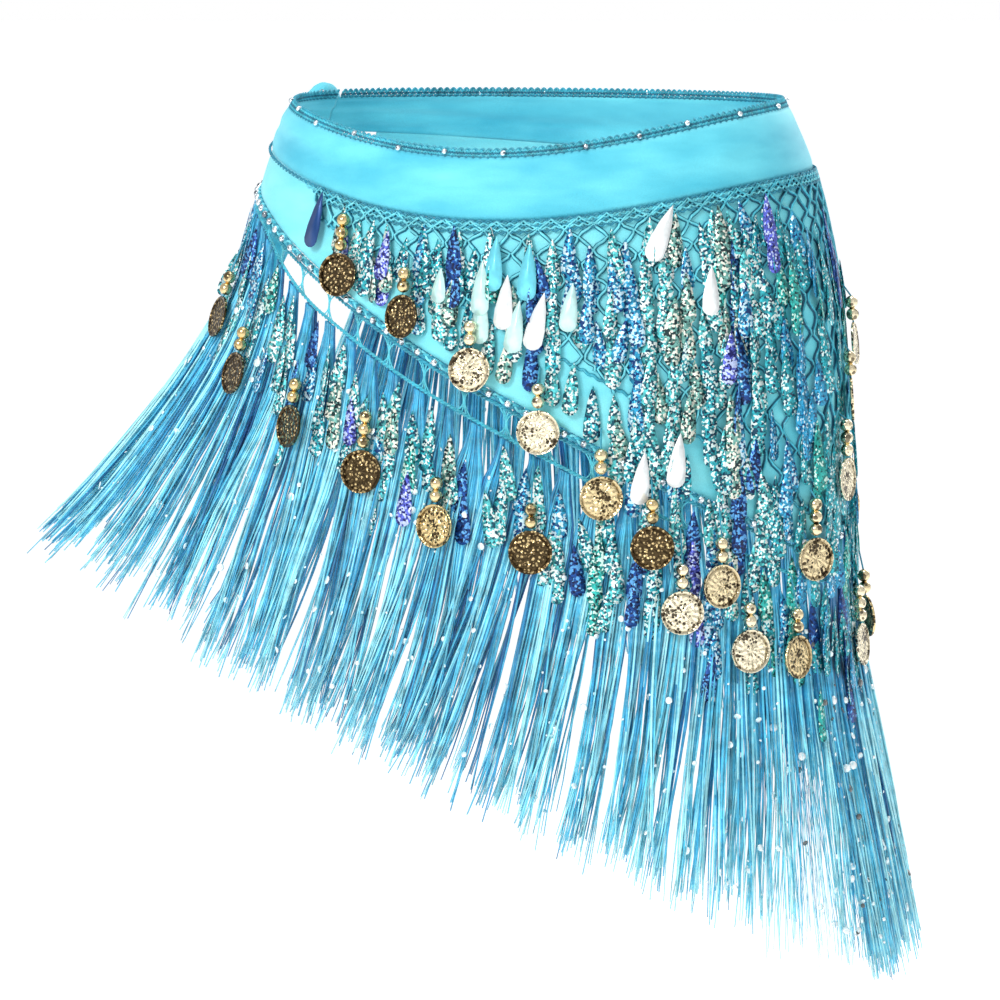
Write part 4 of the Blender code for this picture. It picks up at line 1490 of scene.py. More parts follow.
@dataclass
class Paillettes(Dressed):
    """The teardrop paillettes that hang in columns over the net, the ladder and the tops of the fringe."""

    seed: int = 11
    shortest: float = 0.0230
    longest: float = 0.0300
    width: float = 0.0086
    thickness: float = 0.0003
    out: float = 0.0040
    coin_out: float = 0.0036
    layer_step: float = 0.0006
    overlap: Zone = (0.36, 0.60)
    same_kind: float = 0.62
    over_side: Between = (62.0, 14.0, 130.0, 30.0)
    painted_glint_fade_side: Between = (60.0, 18.0, 140.0, 20.0)
    deep_side: Zone = (64.0, 150.0)
    net_ends: Zone = (-23.0, 199.0)
    fringe_ends: Zone = (-77.0, 233.0)
    net_pitch: float = 0.0098
    fringe_pitch: float = 0.0088
    keep_clear: tuple[tuple[float, float], ...] = ((0.0, 0.0165), (0.0145, 0.0105), (0.0210, 0.0105))
    places: list[tuple] = field(default_factory=list)

    def add(self, angle: float, height: float, out: float, size: float, lean: float, face: float, kind: Shade) -> None:
        """Place one paillette, turned to the side by its lean and about its length by its face, in degrees."""
        self.places.append((angle, height, out, size, lean, face, kind.tone, isinstance(kind, Gloss)))

    def hang_column(
        self, rng: np.random.Generator, length: float, top: float, low: float, share: float, kinds: list[Shade]
    ) -> None:
        """Hang one column of overlapping paillettes.

        Args:
            rng: The source of the small differences.
            length: The column's distance round the form.
            top: The height at which it starts.
            low: The height that it may reach.
            share: How likely each stretch of the column is hung.
            kinds: The colours to choose from.
        """
        height = top
        layer = 0
        lean = rng.normal(0.0, 3.0)
        kind = kinds[rng.integers(len(kinds))]
        while height - self.shortest * 0.6 > low:
            size = rng.uniform(self.shortest, self.longest)
            if rng.uniform() < share:
                angle = float(FORM.angle_at(length + rng.normal(0.0, 0.0010)))
                shade = kind if rng.uniform() < self.same_kind else kinds[rng.integers(len(kinds))]
                out = self.out + self.layer_step * layer + rng.uniform(0.0, self.layer_step)
                self.add(angle, height, out, size, lean + rng.normal(0.0, 4.5), rng.normal(0.0, 14.0), shade)
                layer = (layer + 1) % 3
                height -= size * rng.uniform(*self.overlap)
            else:
                height -= size * 0.7
                kind = kinds[rng.integers(len(kinds))]

    def kinds_at(self, angle: float) -> list[Shade]:
        """The colours that hang at an angle: pale at the front, deeper round the side."""
        if self.deep_side[0] < angle < self.deep_side[1]:
            return [Sparkle.SEA] * 8 + [Sparkle.SKY] * 3 + [Sparkle.GREEN] * 2 + [Sparkle.NAVY]
        front = [Sparkle.SEA] * 5 + [Sparkle.ICE] * 7 + [Sparkle.CREAM] * 3 + [Sparkle.SKY] * 2
        return front + [Sparkle.VIOLET, Sparkle.GREEN, Sparkle.NAVY]

    def lay_out(self) -> None:
        """Choose every place: the chosen columns, then the rest over the net and over the fringe."""
        rng = np.random.default_rng(self.seed)
        for column in CHOSEN_COLUMNS:
            height = float(FORM.seam(column.angle)) - column.drop
            for index in range(column.count):
                out = self.out + 0.0023 - 0.0005 * index
                self.add(column.angle, height, out, column.size, column.lean, 0.0, column.kind)
                height -= column.size * 0.5
        length, last = FORM.stretch(*self.net_ends)
        index = 0
        while length < last:
            angle = float(FORM.angle_at(length))
            side = float(between(angle, *self.over_side))
            front = 1.0 - float(ramp((abs((angle - 85.0) / 1.3) - 32.0) / 12.0))
            top = float(FORM.seam(angle)) - 0.003 - 0.007 * (index % 2) - rng.uniform(0.0, 0.005)
            top -= side * rng.uniform(0.0, 0.034)
            low = float(FORM.panel_edge(angle)) + 0.012 - 0.042 * front
            self.hang_column(rng, length, top, low, 0.92 - 0.18 * side, self.kinds_at(angle))
            length += self.net_pitch - 0.0018 * bump(angle, 58.0, 26.0) + rng.uniform(-0.0008, 0.0008)
            index += 1
        for index, length in enumerate(np.arange(*FORM.stretch(*self.fringe_ends), self.fringe_pitch)):
            angle = float(FORM.angle_at(length))
            top = float(FORM.ladder_edge(angle)) + 0.001 - 0.009 * (index % 2) - rng.uniform(0.0, 0.005)
            low = top - rng.uniform(0.034, 0.070)
            self.hang_column(rng, length, top, low, 0.86, [*self.kinds_at(angle), Sparkle.NAVY, Sparkle.SKY])

    def behind_coins(self, angle: Array, height: Array, out: Array, size: Array) -> Array:
        """Find the paillettes that hang where a coin or its beads hang.

        Args:
            angle: Their angles round the hips.
            height: The heights that they hang from.
            out: Their distances out from the cloth.
            size: Their lengths.

        Returns:
            True for each that has to stay close to the cloth.
        """
        found = np.zeros(len(angle), dtype=bool)
        for hold in Hold:
            coin, _, _, up, _ = CoinDrops(self.wardrobe, hold).axes()
            for rise, reach in self.keep_clear:
                for share in np.linspace(0.0, 1.0, 5):
                    points = FORM.over_cloth(angle, height - size * share, out)
                    apart = np.linalg.norm(points[:, None] - (coin + up * rise)[None], axis=2)
                    found |= apart.min(axis=1) < reach
        return found

    def mesh_of(self, rows: list[tuple]) -> bpy.types.Mesh:
        """Make one mesh of paillettes.

        Args:
            rows: The places.

        Returns:
            The mesh, with its tones.
        """
        angle, height, out, size, lean, face, tone, smooth = np.array(rows, dtype=float).T
        behind = self.behind_coins(angle, height, out, size) & (smooth < 0.5)
        out = np.where(behind, np.minimum(out, self.coin_out), out)
        face = np.where(behind, face * 0.2, face)
        side, away, up = FORM.hung_axes(angle, height - size * 0.5, out)
        side, up = turned(side, up, lean)
        side, away = turned(side, away, face)
        broad = self.width * (0.45 + 0.55 * size / 0.027) * np.where(smooth > 0.5, 1.12, 1.0)
        sizes = np.stack((broad, np.full(len(size), self.thickness), size), axis=1)
        mesh = Placing(FORM.over_cloth(angle, height, out), side, away, up, sizes).copies(teardrop())
        face_out(mesh)
        give(mesh, "tone", tone)
        # Fewer dots of painted reflection round the shaded side.
        give(mesh, "spark", 0.95 - 0.52 * between(angle, *self.painted_glint_fade_side))
        return mesh

    def build(self) -> list[bpy.types.Object]:
        """Build the paillettes.

        Returns:
            The glittering and the smooth ones.
        """
        self.lay_out()
        made = []
        for title, smooth, finish in (("glitter", False, self.wardrobe.glitter), ("gloss", True, self.wardrobe.gloss)):
            mesh = self.mesh_of([row for row in self.places if row[-1] == smooth])
            made.append(put(f"{title}_paillettes", mesh, finish))
        return made


@dataclass
class Fringe(Dressed):
    """The fringe: fine strands, drawn together at the ladder and falling in clumps."""

    seed: int = 23
    start: float = -80.0
    end: float = 236.0
    nodes: int = 6
    bunch: float = 0.0150
    strands: int = 50
    clump: int = 5
    strip: float = 0.0032
    shorter: float = 0.07
    quick_wave: float = 2.4
    slow_wave: float = 0.83
    carried: float = -0.034
    locks: int = 23
    radius: float = 0.00078
    sides: int = 3
    marks: tuple[float, ...] = (0.0, 0.03, 0.08, 0.14, 0.22, 0.32, 0.43, 0.55, 0.67, 0.79, 0.90, 1.0)
    thickness_marks: tuple[float, ...] = (0.0, 0.1, 0.6, 1.0)
    thickness: tuple[float, ...] = (0.75, 1.0, 0.95, 0.45)
    clump_shift: float = 0.0012
    clump_out: Zone = (-0.0035, 0.0060)
    clump_cut: Zone = (0.92, 1.02)
    clump_tone: float = 0.16
    clump_lean: float = 0.0042
    bunch_shift: float = 0.0020
    strays: float = 0.42
    end_gap: float = 0.0004
    swung: Zone = (-68.0, 40.0)
    front_lean: Zone = (22.0, 34.0)
    back_lean: Zone = (190.0, 40.0)
    point_closing: Swell = (0.42, 76.0, 11.0)
    back_closing: Swell = (0.10, 130.0, 30.0)
    thinned: Swell = (0.72, 74.0, 9.0)
    # Painted light towards the tips on the lit side, and painted shade near the roots below the net's point.
    lit: Swell = (0.26, 62.0, 26.0)
    dark: Swell = (0.85, 96.0, 24.0)

    def lock_length(self, length: Array) -> Array:
        """The length of the lock at a distance round the form."""
        start, end = FORM.stretch(self.start, self.end)
        index = np.floor((length - start) / (end - start) * self.nodes * self.locks)
        wave = (np.sin(index * self.quick_wave) + np.sin(index * self.slow_wave)) / 2.0
        return FORM.fringe_length(FORM.angle_at(length)) * (1.0 - self.shorter * (1.0 + wave) / 2.0)

    def strand_paths(self, number: int) -> tuple[Array, Array, Array, Array]:
        """The strands of one stretch.

        Args:
            number: Which stretch, from 0.

        Returns:
            Paths, radii, outward directions and tones.
        """
        rng = np.random.default_rng(self.seed + number)
        start, end = FORM.stretch(self.start, self.end)
        first = start + (end - start) * number / self.nodes
        span = (end - start) / self.nodes
        bunches = round(span / self.bunch)
        pitch = span / bunches
        share = np.array(self.marks)
        count = bunches * self.strands
        each = (count, 1)
        centre = first + pitch * (np.repeat(np.arange(bunches), self.strands)[:, None] + 0.5)
        sides = FORM.angle_at(centre)
        left = bump(sides, *self.swung)
        # Every strand has its own place in the bunch, and neighbours make a clump.
        fan = rng.uniform(-0.5, 0.5, each) * pitch
        settled = centre + fan
        rank = np.argsort(np.argsort(settled[:, 0]))
        clump_of = rank // self.clump
        outer = np.isin(rank % self.clump, (0, self.clump - 1))[:, None]
        clumps = clump_of.max() + 1
        middles = np.bincount(clump_of, settled[:, 0]) / np.bincount(clump_of)
        clump_values = (
            middles + rng.normal(0.0, self.clump_shift, clumps),
            rng.uniform(*self.clump_out, clumps),
            rng.uniform(*self.clump_cut, clumps),
            rng.normal(0.0, self.clump_tone, clumps),
            rng.normal(0.0, self.clump_lean, clumps),
        )
        middle, lifted, cut, clump_tone, lean = (values[clump_of][:, None] for values in clump_values)
        stray = rng.uniform(size=each) < self.strays - 0.28 * left
        shift, spare = rng.normal(0.0, self.bunch_shift, (2, bunches)).repeat(self.strands, axis=1)[..., None]
        # Down its length a strand spreads from its root, then joins its clump and its bunch.
        total = self.strip + self.lock_length(settled) * cut * rng.uniform(0.95, 1.01, each)
        depth = total * share
        spread = ramp((depth - 0.002) / 0.030)
        gathered = ramp((depth - 0.040) / 0.090) * np.where(stray, 0.10, 0.56 + 0.24 * left)
        closing = 0.03 + 0.43 * left + swell(sides, *self.point_closing) + swell(sides, *self.back_closing)
        closed = np.where(stray, 0.02, closing) * ramp((depth - 0.050) / 0.080)
        place = (centre + fan * (0.34 + 0.34 * left)) * (1.0 - spread) + settled * spread
        place = place * (1.0 - gathered) + middle * gathered
        place = place + (centre - place) * closed + shift * ramp((depth - 0.040) / 0.10)
        place = place + lean * ramp((depth - 0.030) / 0.20)
        # The whole fringe is carried sideways, and each strand wavers a little.
        carried = self.carried * bump(sides, *self.front_lean) + 0.4 * self.carried * bump(sides, *self.back_lean)
        carried = carried * (1.0 + 0.10 * np.sin(centre * 52.0)) + np.where(stray, 0.0, spare)
        place = place + carried * (depth / 0.2) ** 1.25
        wave = rng.uniform(0.0, 2.0 * math.pi, each)
        loose = rng.normal(0.0, 1.0, each)
        place = place + 0.0009 * np.sin(share * 9.0 + wave) * share + 0.0016 * loose * share**2
        at_top = np.clip(place, first + self.end_gap, first + span - self.end_gap)
        place = at_top + (place - at_top) * ramp((depth - 0.02) / 0.04)
        layer = np.where(outer, rng.uniform(0.0, 0.5, each), rng.uniform(0.2, 1.0, each))
        out = 0.0003 + 0.0018 * layer + (lifted + 0.0016 * loose) * ramp(share * 1.3)
        out = out + 0.0010 * np.sin(share * 7.0 + wave * 1.7) * share
        angle = FORM.angle_at(place)
        top = FORM.fringe_root(angle)
        paths = FORM.laid(angle, top, out) + FORM.hang(angle, depth)
        radii = self.radius * np.interp(share, self.thickness_marks, self.thickness) * rng.uniform(0.75, 1.2, each)
        radii = radii * (1.0 - swell(sides, *self.thinned) * ramp((depth - 0.055) / 0.05))
        # Painted shade: strands are darker at the edges of each bunch and each clump, in the back layer, at the root
        # and on the shaded side; painted light makes them lighter towards the tips, most on the lit side.
        edge = np.abs(fan / pitch * 2.0) ** 4
        tones = 0.48 + 0.40 * layer - 0.30 * edge + clump_tone + rng.normal(0.0, 0.12, each)
        tones = tones - np.where(outer, 0.22 + 0.14 * left, 0.0) + np.where(stray, 0.12, 0.0)
        tones = tones + 0.06 * left + 0.14 * left * rng.normal(0.0, 1.0, each)
        painted_tip_light = (0.10 + swell(sides, *self.lit)) * ramp((depth - 0.06) / 0.14)
        tones = np.clip(tones, 0.0, 1.0) * (0.46 + 0.54 * ramp(depth / 0.060)) + painted_tip_light
        tones = tones * (1.0 - swell(sides, *self.dark) * (1.0 - ramp((depth - 0.040) / 0.06)))
        return paths, radii, FORM.outward(angle, top), np.clip(tones, 0.0, 1.0)

    def build(self) -> list[bpy.types.Object]:
        """Build the fringe.

        Returns:
            One piece for each stretch.
        """
        made = []
        ring = tube_rings(len(self.marks), self.sides)
        for number in range(self.nodes):
            paths, radii, away, tones = self.strand_paths(number)
            mesh = tubes(paths, radii, self.sides, away)
            give(mesh, "tone", tones[:, ring])
            title = f"fringe_{number + 1}"
            made.append(put(f"{title}_strands", mesh, self.wardrobe.thread, (title,)))
        return made


def tube_rings(rings: int, sides: int) -> Array:
    """The ring of each point of a tube template, in the template's order."""
    shape = tube_template(rings, sides)
    order = np.array([round(vert.co.y) for vert in shape.verts])
    shape.free()
    return order


@dataclass
class FringeSequins(Dressed):
    """The small white sequins that sit on the fringe's strands; round the shaded side some are painted dark as shade.
    """

    seed: int = 41
    count: int = 900
    smallest: float = 0.0007
    largest: float = 0.0026
    crowded: Zone = (92.0, 18.0)
    ends: Zone = (-78.0, 233.0)
    painted_shade_side: Zone = (70.0, 150.0)
    crowd_share: float = 0.25
    dark_share: float = 0.30
    dark_tone: float = 0.12
    along: Zone = (0.10, 0.90)
    out: float = 0.0032
    turns: Zone = (25.0, 18.0)

    def build(self) -> list[bpy.types.Object]:
        """Build the sequins.

        Returns:
            The sequins.
        """
        rng = np.random.default_rng(self.seed)
        angle = FORM.angle_at(rng.uniform(*FORM.stretch(*self.ends), self.count))
        crowd = rng.uniform(size=self.count) < self.crowd_share
        middle, spread = self.crowded
        angle = np.where(crowd, middle + spread * rng.normal(size=self.count), angle)
        depth = FORM.fringe_length(angle) * rng.uniform(*self.along, self.count)
        height = FORM.fringe_root(angle) - depth
        out = self.out + 0.0040 * depth / 0.19 + rng.uniform(-0.001, 0.001, self.count)
        side, away, up = FORM.hung_axes(angle, height, out)
        side, away = turned(side, away, rng.normal(0.0, self.turns[0], self.count))
        away, up = turned(away, up, rng.normal(0.0, self.turns[1], self.count))
        radius = self.smallest + (self.largest - self.smallest) * rng.uniform(size=self.count) ** 2.4
        shape = bmesh.new()
        bmesh.ops.create_cone(shape, cap_ends=True, segments=9, radius1=1.0, radius2=0.9, depth=0.25, matrix=STAND_UP)
        mesh = Placing(FORM.over_cloth(angle, height, out), side, away, up, radius[:, None]).copies(shape)
        face_out(mesh)
        # Painted shade: some sequins round the shaded side are dark.
        start, end = self.painted_shade_side
        dark = (rng.uniform(size=self.count) < self.dark_share) & (angle > start) & (angle < end)
        give(mesh, "tone", np.where(dark, self.dark_tone, 1.0))
        return [put("fringe_sequins", mesh, self.wardrobe.sequin)]


@dataclass(frozen=True)
class Drop:
    """One hung coin: where its string starts, how far down it hangs, its beads, turn and the brightness of its painted
    reflection.
    """

    angle: float
    rise: float
    reach: float
    beads: int
    turn: float
    painted_reflection: float = 1.0


NET_DROPS = (
    Drop(-19, 0.041, 0.033, 3, 10, 0.50),
    Drop(-4, 0.042, 0.031, 2, -14, 0.45),
    Drop(9, 0.036, 0.031, 2, 0),
    Drop(21, 0.025, 0.033, 2, 0),
    Drop(32, 0.010, 0.035, 2, 12, 0.62),
    Drop(41, -0.002, 0.036, 2, -8, 0.32),
    Drop(54.5, -0.002, 0.040, 2, 12, 0.75),
    Drop(77, 0.026, 0.036, 3, -10, 0.70),
    Drop(92, 0.062, 0.034, 3, 0),
    Drop(99, 0.094, 0.031, 2, 12, 0.80),
    Drop(110, 0.110, 0.031, 2, -10),
    Drop(124, 0.012, 0.037, 3, 8, 0.60),
    Drop(140, 0.024, 0.034, 2, -12),
    Drop(155, 0.034, 0.036, 3, 0),
    Drop(170, 0.038, 0.032, 2, 12),
    Drop(186, 0.040, 0.036, 3, -8),
)
FRINGE_DROPS = (
    Drop(-58, 0.0, 0.058, 2, 8),
    Drop(-42, 0.0, 0.068, 2, 0),
    Drop(-26, 0.0, 0.062, 2, -10),
    Drop(-10, 0.0, 0.058, 3, 12, 0.55),
    Drop(4, 0.0, 0.062, 2, -12, 0.50),
    Drop(20, 0.0, 0.050, 2, 12, 0.34),
    Drop(46.5, 0.0, 0.044, 2, 0),
    Drop(60.5, 0.0, 0.049, 2, 0),
    Drop(71.5, 0.0, 0.043, 2, 12, 0.62),
    Drop(101, 0.0, 0.048, 3, -8),
    Drop(116, 0.0, 0.054, 2, 10, 0.60),
    Drop(132, 0.0, 0.060, 3, -12),
    Drop(148, 0.0, 0.062, 2, 0, 0.70),
    Drop(163, 0.0, 0.060, 3, 10),
    Drop(179, 0.0, 0.064, 2, -10),
    Drop(196, 0.0, 0.060, 2, 8),
    Drop(212, 0.0, 0.058, 2, 0),
)


class Hold(Enum):
    """What a row of coins hangs from, with its coins."""

    NET = ("net", NET_DROPS)
    FRINGE = ("fringe", FRINGE_DROPS)


@dataclass
class CoinDrops(Dressed):
    """A row of struck coins on gold beads, each on its own thread."""

    hold: Hold
    coin_radius: float = 0.0112
    coin_thickness: float = 0.0014
    bead_radius: float = 0.0034
    bead_pitch: float = 0.0064
    coin_out: float = 0.0076
    string_drop: float = 0.004
    cord_radius: float = 0.00045
    net_out: float = 0.0028
    panel_out: float = 0.0015
    ladder_out: float = 0.0020
    thread_tone: float = 0.4
    # Painted reflection: coins round these angles are darker.
    front_dark_reflection: Swell = (0.95, -40.0, 30.0)
    back_dark_reflection: Swell = (0.7, 185.0, 30.0)
    hollows: tuple[tuple[float, float], ...] = (
        (0.0009, 0.0),
        (0.0003, -0.0003),
        (0.0014, 0.0),
        (0.0014, 0.0),
        (0.0022, 0.0),
        (0.0022, 0.0),
    )

    def coin_shape(self) -> bmesh.types.BMesh:
        """The coin: a disc with a raised rim, its face along Y."""
        shape = bmesh.new()
        broad, thick = self.coin_radius, self.coin_thickness
        bmesh.ops.create_cone(
            shape, cap_ends=True, segments=32, radius1=broad, radius2=broad, depth=thick, matrix=STAND_UP
        )
        rims = [edge for edge in shape.edges if abs(abs(sum(vert.co.y for vert in edge.verts)) - thick) < 2e-5]
        bmesh.ops.bevel(
            shape, geom=rims, offset=0.0003, segments=2, profile=0.5, affect="EDGES", material=-1, clamp_overlap=True
        )
        for thickness, depth in self.hollows:
            caps = [face for face in shape.faces if len(face.verts) > 8]
            bmesh.ops.inset_individual(shape, faces=caps, thickness=thickness, depth=depth, use_even_offset=True)
        bmesh.ops.poke(shape, faces=[face for face in shape.faces if len(face.verts) > 8])
        return shape

    def embossing(self, points: Array) -> Array:
        """A plain struck pattern: a ring of studs and a rosette between grooves.

        Args:
            points: The coin's points, before it is placed.

        Returns:
            The relief at each point, from -1 in a groove to 1.
        """
        turn = np.arctan2(points[:, 2], points[:, 0])
        reach = np.hypot(points[:, 0], points[:, 2]) / self.coin_radius
        hundredths = reach * 100.0
        studs = bump(hundredths, 66.0, 9.0) * (0.5 + 0.5 * np.cos(16.0 * turn))
        rosette = (1.0 - ramp((reach - 0.22) / 0.22)) * (0.6 + 0.4 * np.cos(8.0 * turn))
        groove = bump(hundredths, 88.0, 4.0) + 0.4 * bump(hundredths, 46.0, 4.0)
        return studs + rosette - groove

    def table(self) -> Array:
        """The values of the row's coins, one column of the table for each field of Drop."""
        return np.array([astuple(drop) for drop in self.hold.value[1]], dtype=float).T

    def axes(self) -> tuple[Array, Array, Array, Array, Array]:
        """Where each coin is.

        Returns:
            The coins' middles, their three axes and the roots of their strings.
        """
        angle, rise, reach, _, turn, _ = self.table()
        if self.hold is Hold.NET:
            height = FORM.panel_edge(angle) + rise
            on_net = (height > FORM.net_edge(angle)) | (rise < 0.0)
            cloth = np.where(on_net, self.net_out, self.panel_out)
        else:
            height = FORM.ladder_edge(angle) + 0.0011
            cloth = np.full(angle.shape, self.ladder_out)
        root = FORM.over_cloth(angle, height, cloth + 0.0009 + FORM.seam_gap)
        far = np.full(angle.shape, self.coin_out)
        coin = FORM.over_cloth(angle, height - reach, far)
        up = unit(FORM.over_cloth(angle, height - self.string_drop, far) - coin)
        side = unit(np.cross(up, FORM.outward(angle, height)))
        away = np.cross(up, side)
        side, away = turned(side, away, turn)
        return coin, side, away, up, root

    def build(self) -> list[bpy.types.Object]:
        """Build the row.

        Returns:
            The coins, their beads and their threads.
        """
        coin, side, away, up, root = self.axes()
        angle, _, _, beads, _, painted_reflection = self.table()
        title = self.hold.value[0]
        shape = self.coin_shape()
        relief = self.embossing(np.array([vert.co[:] for vert in shape.verts]))
        mesh = Placing(coin, side, away, up).copies(shape)
        give(mesh, "emboss", np.tile(relief, len(coin)))
        mesh.set_sharp_from_angle(angle=math.radians(35.0))
        # Painted reflection: coins round the front and the back are darker, and each coin has its own brightness.
        tarnish = swell(angle, *self.front_dark_reflection) + swell(angle, *self.back_dark_reflection)
        tone = np.clip(1.0 - tarnish, 0.08, 1.0) * painted_reflection
        give(mesh, "tone", tone)
        names = tuple(f"{title}_coin_{index + 1:02d}" for index in range(len(coin)))
        coins = put(f"{title}_coins", mesh, self.wardrobe.coin, names)
        level = self.coin_radius * math.cos(math.pi / 10.0) + self.bead_pitch / 4.0
        owner = np.repeat(np.arange(len(coin)), beads.astype(int))
        step = np.concatenate([level + self.bead_pitch * (np.arange(number) + 0.5) for number in beads])
        middle = coin[owner] + up[owner] * step[:, None]
        mesh = Placing(middle, side[owner], away[owner], up[owner], self.bead_radius).copies(ball(14, 9))
        # The beads follow their coin's painted reflection.
        give(mesh, "tone", 0.42 + 0.50 * tone[owner])
        give(mesh, "emboss", 0.0)
        balls = put(f"{title}_coin_beads", mesh, self.wardrobe.gold_bead)
        low = coin + up * (self.coin_radius - 0.0012)
        neck = coin + up * (level + self.bead_pitch * beads)[:, None]
        share = np.linspace(0.0, 1.0, 6)[:, None]
        lower = low[:, None, :] + (neck - low)[:, None, :] * share
        upper = neck[:, None, :] + (root - neck)[:, None, :] * share[1:]
        mesh = tubes(np.concatenate((lower, upper), axis=1), self.cord_radius, 6, away[:, None, :])
        give(mesh, "tone", self.thread_tone)
        return [coins, balls, put(f"{title}_coin_threads", mesh, self.wardrobe.yarn)]


@dataclass(frozen=True)
class Tail:
    """One free end of the waistband."""

    name: str
    across: float
    deep: float
    lean: float
    length: float
    top_width: float
    low_width: float
    pleats: int


@dataclass
class Tie(Dressed):
    """The knot at the wearer's right, with the two free ends under it."""

    half_width: float = 0.0125
    half_height: float = 0.0145
    half_depth: float = 0.0085
    lobes: int = 3
    groove: float = 0.09
    clearance: float = 0.0005
    band_thickness: float = 0.0020
    tail_thickness: float = 0.0012
    pleat: float = 0.0022
    fan_power: float = 0.7
    opened: float = 1.12
    cut_share: float = 0.76
    tails: tuple[Tail, ...] = (
        Tail("tie_tail_long", 0.002, -0.002, 0.0, 0.115, 0.010, 0.030, 3),
        Tail("tie_tail_short", -0.002, 0.002, 0.012, 0.085, 0.009, 0.026, 2),
    )

    def axes(self) -> tuple[Array, Array, Array, Array]:
        """The knot's middle, and its axes along the band, up the form and away from it."""
        angle = FORM.tie_angle
        height = float(FORM.band_top(angle) + FORM.seam(angle)) / 2.0
        away = FORM.outward(angle, height)
        along = unit(np.cross((0.0, 0.0, 1.0), away))
        middle = FORM.worn(angle, height, self.band_thickness + self.clearance + self.half_depth)
        return middle, along, np.cross(away, along), away

    def build_knot(self) -> bpy.types.Object:
        """Build the knot, an oval with soft grooves between its turns of cloth.

        Returns:
            The knot.
        """
        middle, along, up, away = self.axes()
        mesh = to_mesh(ball(60, 32))
        x, y, z = points_of(mesh).T
        twist = np.arctan2(y, x) + 0.8 * z
        reach = np.hypot(x, y)
        groove = 1.0 - self.groove * (1.0 - np.cos(self.lobes * twist)) / 2.0 * reach
        groove = groove + 0.018 * np.sin(self.lobes * 5.0 * twist + 3.0 * z) * reach
        spot = along * (x * self.half_width)[:, None] + away * (y * self.half_depth)[:, None]
        spot = spot + up * (z * self.half_height)[:, None]
        move_points(mesh, middle + spot * groove[:, None])
        face_out(mesh)
        return put("tie_knot_cloth", mesh, self.wardrobe.velvet, ("tie_knot",))

    def build_tail(self, tail: Tail) -> bpy.types.Object:
        """Build one pleated tail.

        Args:
            tail: Which tail.

        Returns:
            The tail.
        """
        middle, along, up, away = self.axes()
        root = middle + along * tail.across + away * tail.deep - up * (self.half_height + FORM.seam_gap)
        shape = bmesh.new()
        bmesh.ops.create_grid(shape, x_segments=40, y_segments=44, size=0.5)
        mesh = to_mesh(shape)
        across, height, _ = points_of(mesh).T
        down = 0.5 - height
        width = tail.top_width + (tail.low_width - tail.top_width) * down**self.fan_power
        pleat = self.pleat * down * np.sin(across * math.pi * tail.pleats)
        ripple = 0.0006 * down * np.sin(across * 21.0 + down * 4.0)
        way = FORM.hang(np.full(down.shape, FORM.tie_angle), tail.length * down)
        spot = root + way + along * (across * width)[:, None]
        move_points(mesh, spot + away * (pleat + ripple + tail.lean * down)[:, None])
        shape = bmesh.new()
        shape.from_mesh(mesh)
        bmesh.ops.solidify(shape, geom=shape.faces[:], thickness=self.tail_thickness)
        shape.to_mesh(mesh)
        shape.free()
        face_out(mesh)
        made = put(f"{tail.name}_cloth", mesh, self.wardrobe.velvet, (tail.name,))
        return made

    def build(self) -> list[bpy.types.Object]:
        """Build the knot and its tails.

        Returns:
            The pieces.
        """
        return [self.build_knot(), *(self.build_tail(tail) for tail in self.tails)]


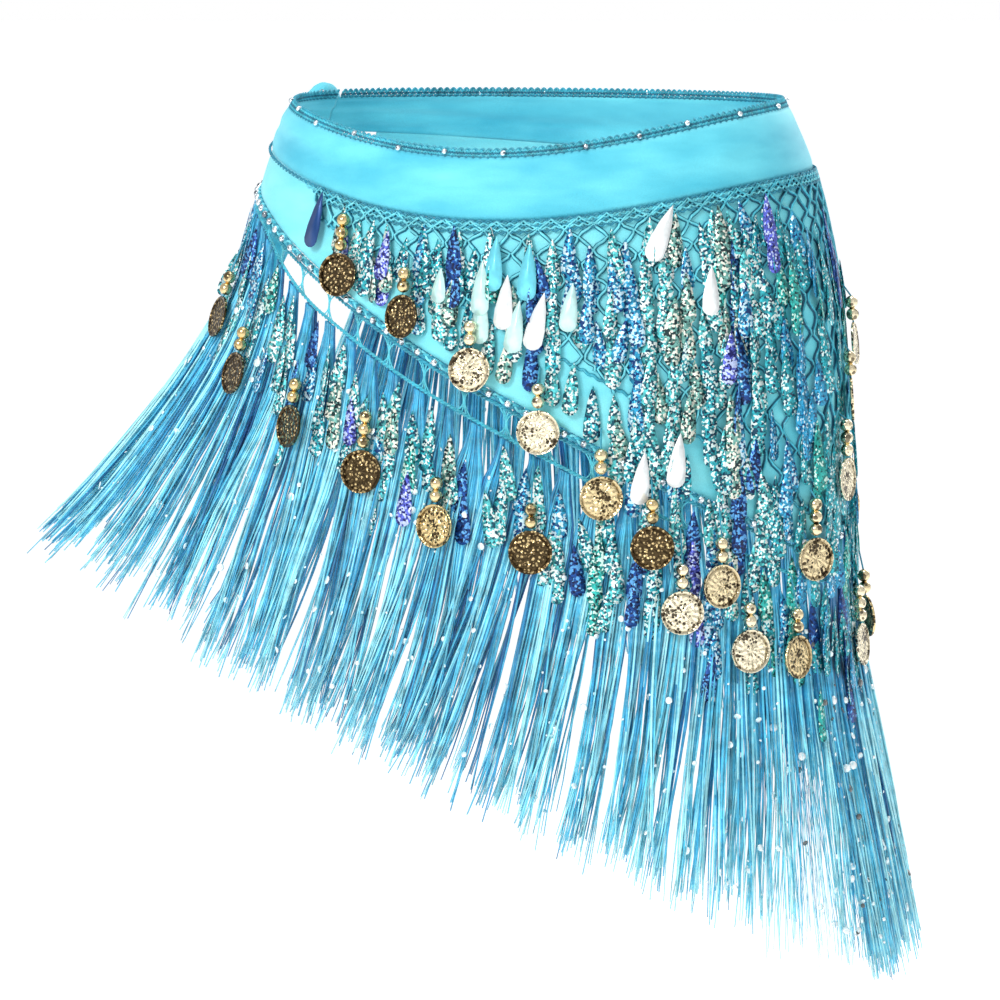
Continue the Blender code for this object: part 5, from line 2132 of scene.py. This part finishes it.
@dataclass
class Studio:
    """The camera, the soft lights and the pale floor."""

    azimuth: float = 27.0
    elevation: float = 7.0
    distance: float = 2.4
    metres_each_pixel: float = 0.53e-3
    origin_pixel: tuple[float, float] = (537.0, 130.0)
    image: float = 1000.0
    floor_height: float = -0.95
    floor_radius: float = 60.0
    sensor: float = 36.0
    looked_at: tuple[float, float, float] = (0.0, 0.0, -0.2)
    lights: tuple[tuple[str, tuple[float, float, float], float, float], ...] = (
        ("key_light", (-0.38, -2.2, 1.2), 0.9, 37.0),
        ("fill_light", (2.0, -1.2, 0.5), 1.2, 1.5),
        ("back_light", (0.3, 2.2, 1.0), 1.4, 20.0),
        ("top_light", (0.0, 0.0, 2.0), 1.2, 14.0),
    )

    def build_camera(self) -> None:
        """Set the camera at the photograph's angle."""
        turn, rise = math.radians(self.azimuth), math.radians(self.elevation)
        right = Vector((math.cos(turn), math.sin(turn), 0.0))
        back = Vector((math.sin(turn) * math.cos(rise), -math.cos(turn) * math.cos(rise), math.sin(rise)))
        up = back.cross(right)
        aim = right * (self.image / 2 - self.origin_pixel[0]) * self.metres_each_pixel
        aim -= up * (self.image / 2 - self.origin_pixel[1]) * self.metres_each_pixel
        data = bpy.data.cameras.new("camera")
        data.sensor_width = self.sensor
        data.lens = self.sensor * self.distance / (self.image * self.metres_each_pixel)
        camera = bpy.data.objects.new("camera", data)
        place = Matrix((right, up, back)).transposed().to_4x4()
        place.translation = aim + back * self.distance
        camera.matrix_world = place
        bpy.context.scene.collection.objects.link(camera)
        bpy.context.scene.camera = camera

    def add_light(self, name: str, place: tuple[float, float, float], size: float, power: float) -> None:
        """Add a soft square light that looks at the scarf.

        Args:
            name: Its name.
            place: Where it stands.
            size: Its side.
            power: Its power in watts.
        """
        data = bpy.data.lights.new(name, "AREA")
        data.shape = "SQUARE"
        data.size = size
        data.energy = power
        light = bpy.data.objects.new(name, data)
        light.location = place
        aim = Vector(self.looked_at) - Vector(place)
        light.rotation_euler = aim.to_track_quat("-Z", "Y").to_euler()
        bpy.context.scene.collection.objects.link(light)

    def build_world(self) -> None:
        """Set a pale world that the camera sees as white."""
        world = bpy.data.worlds.new("studio")
        world.use_nodes = True
        desk = Desk(world.node_tree)
        plain = world.node_tree.nodes["Background"]
        plain.inputs["Color"].default_value = (0.95, 0.97, 1.0, 1.0)
        plain.inputs["Strength"].default_value = 0.66
        seen = desk.node("ShaderNodeBackground", {"Color": WHITE, "Strength": 1.0})
        ray = desk.node("ShaderNodeLightPath").outputs["Is Camera Ray"]
        mixed = desk.node("ShaderNodeMixShader", {0: ray, 1: plain.outputs[0], 2: seen.outputs[0]})
        desk.feed(world.node_tree.nodes["World Output"].inputs[0], mixed.outputs[0])
        bpy.context.scene.world = world

    def build_floor(self) -> None:
        """Lay the pale floor."""
        shape = bmesh.new()
        bmesh.ops.create_circle(shape, cap_ends=True, radius=self.floor_radius, segments=64)
        bmesh.ops.translate(shape, verts=shape.verts[:], vec=(0.0, 0.0, self.floor_height))
        mesh = to_mesh(shape)
        bench = Bench(Finish("studio_floor", 0.8))
        tint = bench.noise(bench.place(), 3.0, 2.0)
        colour = bench.steps(tint, [(0.3, (0.955, 0.955, 0.955)), (0.7, (0.97, 0.97, 0.97))])
        bench.feed(bench.shader["Base Color"], colour)
        bench.shader["Emission Color"].default_value = WHITE
        bench.shader["Emission Strength"].default_value = 0.42
        mesh.materials.append(bench.material)
        floor = bpy.data.objects.new("studio_floor", mesh)
        bpy.context.scene.collection.objects.link(floor)

    def build(self) -> None:
        """Build the studio."""
        self.build_camera()
        for light in self.lights:
            self.add_light(*light)
        self.build_world()
        self.build_floor()
        bpy.context.scene.view_settings.view_transform = "Standard"


def main() -> None:
    """Build the studio and every piece of the scarf in order."""
    logging.basicConfig(level=logging.INFO, format="%(message)s")
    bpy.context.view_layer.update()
    Studio().build()
    finishes = Wardrobe()
    band, panel = Waistband(finishes), HipPanel(finishes)
    band_cloth = band.build()
    trim = WaistTrim(finishes).build()
    panel_cloth = panel.build()
    half_gap = math.degrees(FORM.wide_gap / FORM.hip_half_width)
    on_panel = []
    for part in (
        SeamEdging(finishes),
        CrochetNet(finishes),
        EdgeBraid(finishes),
        Ladder(finishes, "ladder_front", FORM.panel_start, FORM.tip_angle - half_gap),
        Ladder(finishes, "ladder_back", FORM.tip_angle + half_gap, FORM.panel_end),
        Paillettes(finishes),
        Fringe(finishes),
        FringeSequins(finishes),
        CoinDrops(finishes, Hold.NET),
        CoinDrops(finishes, Hold.FRINGE),
    ):
        on_panel += part.build()
    Tie(finishes).build()
    width, length, area = band.flat_size()
    width, length, area = panel.flat_size()


if __name__ == "__main__":
    main()
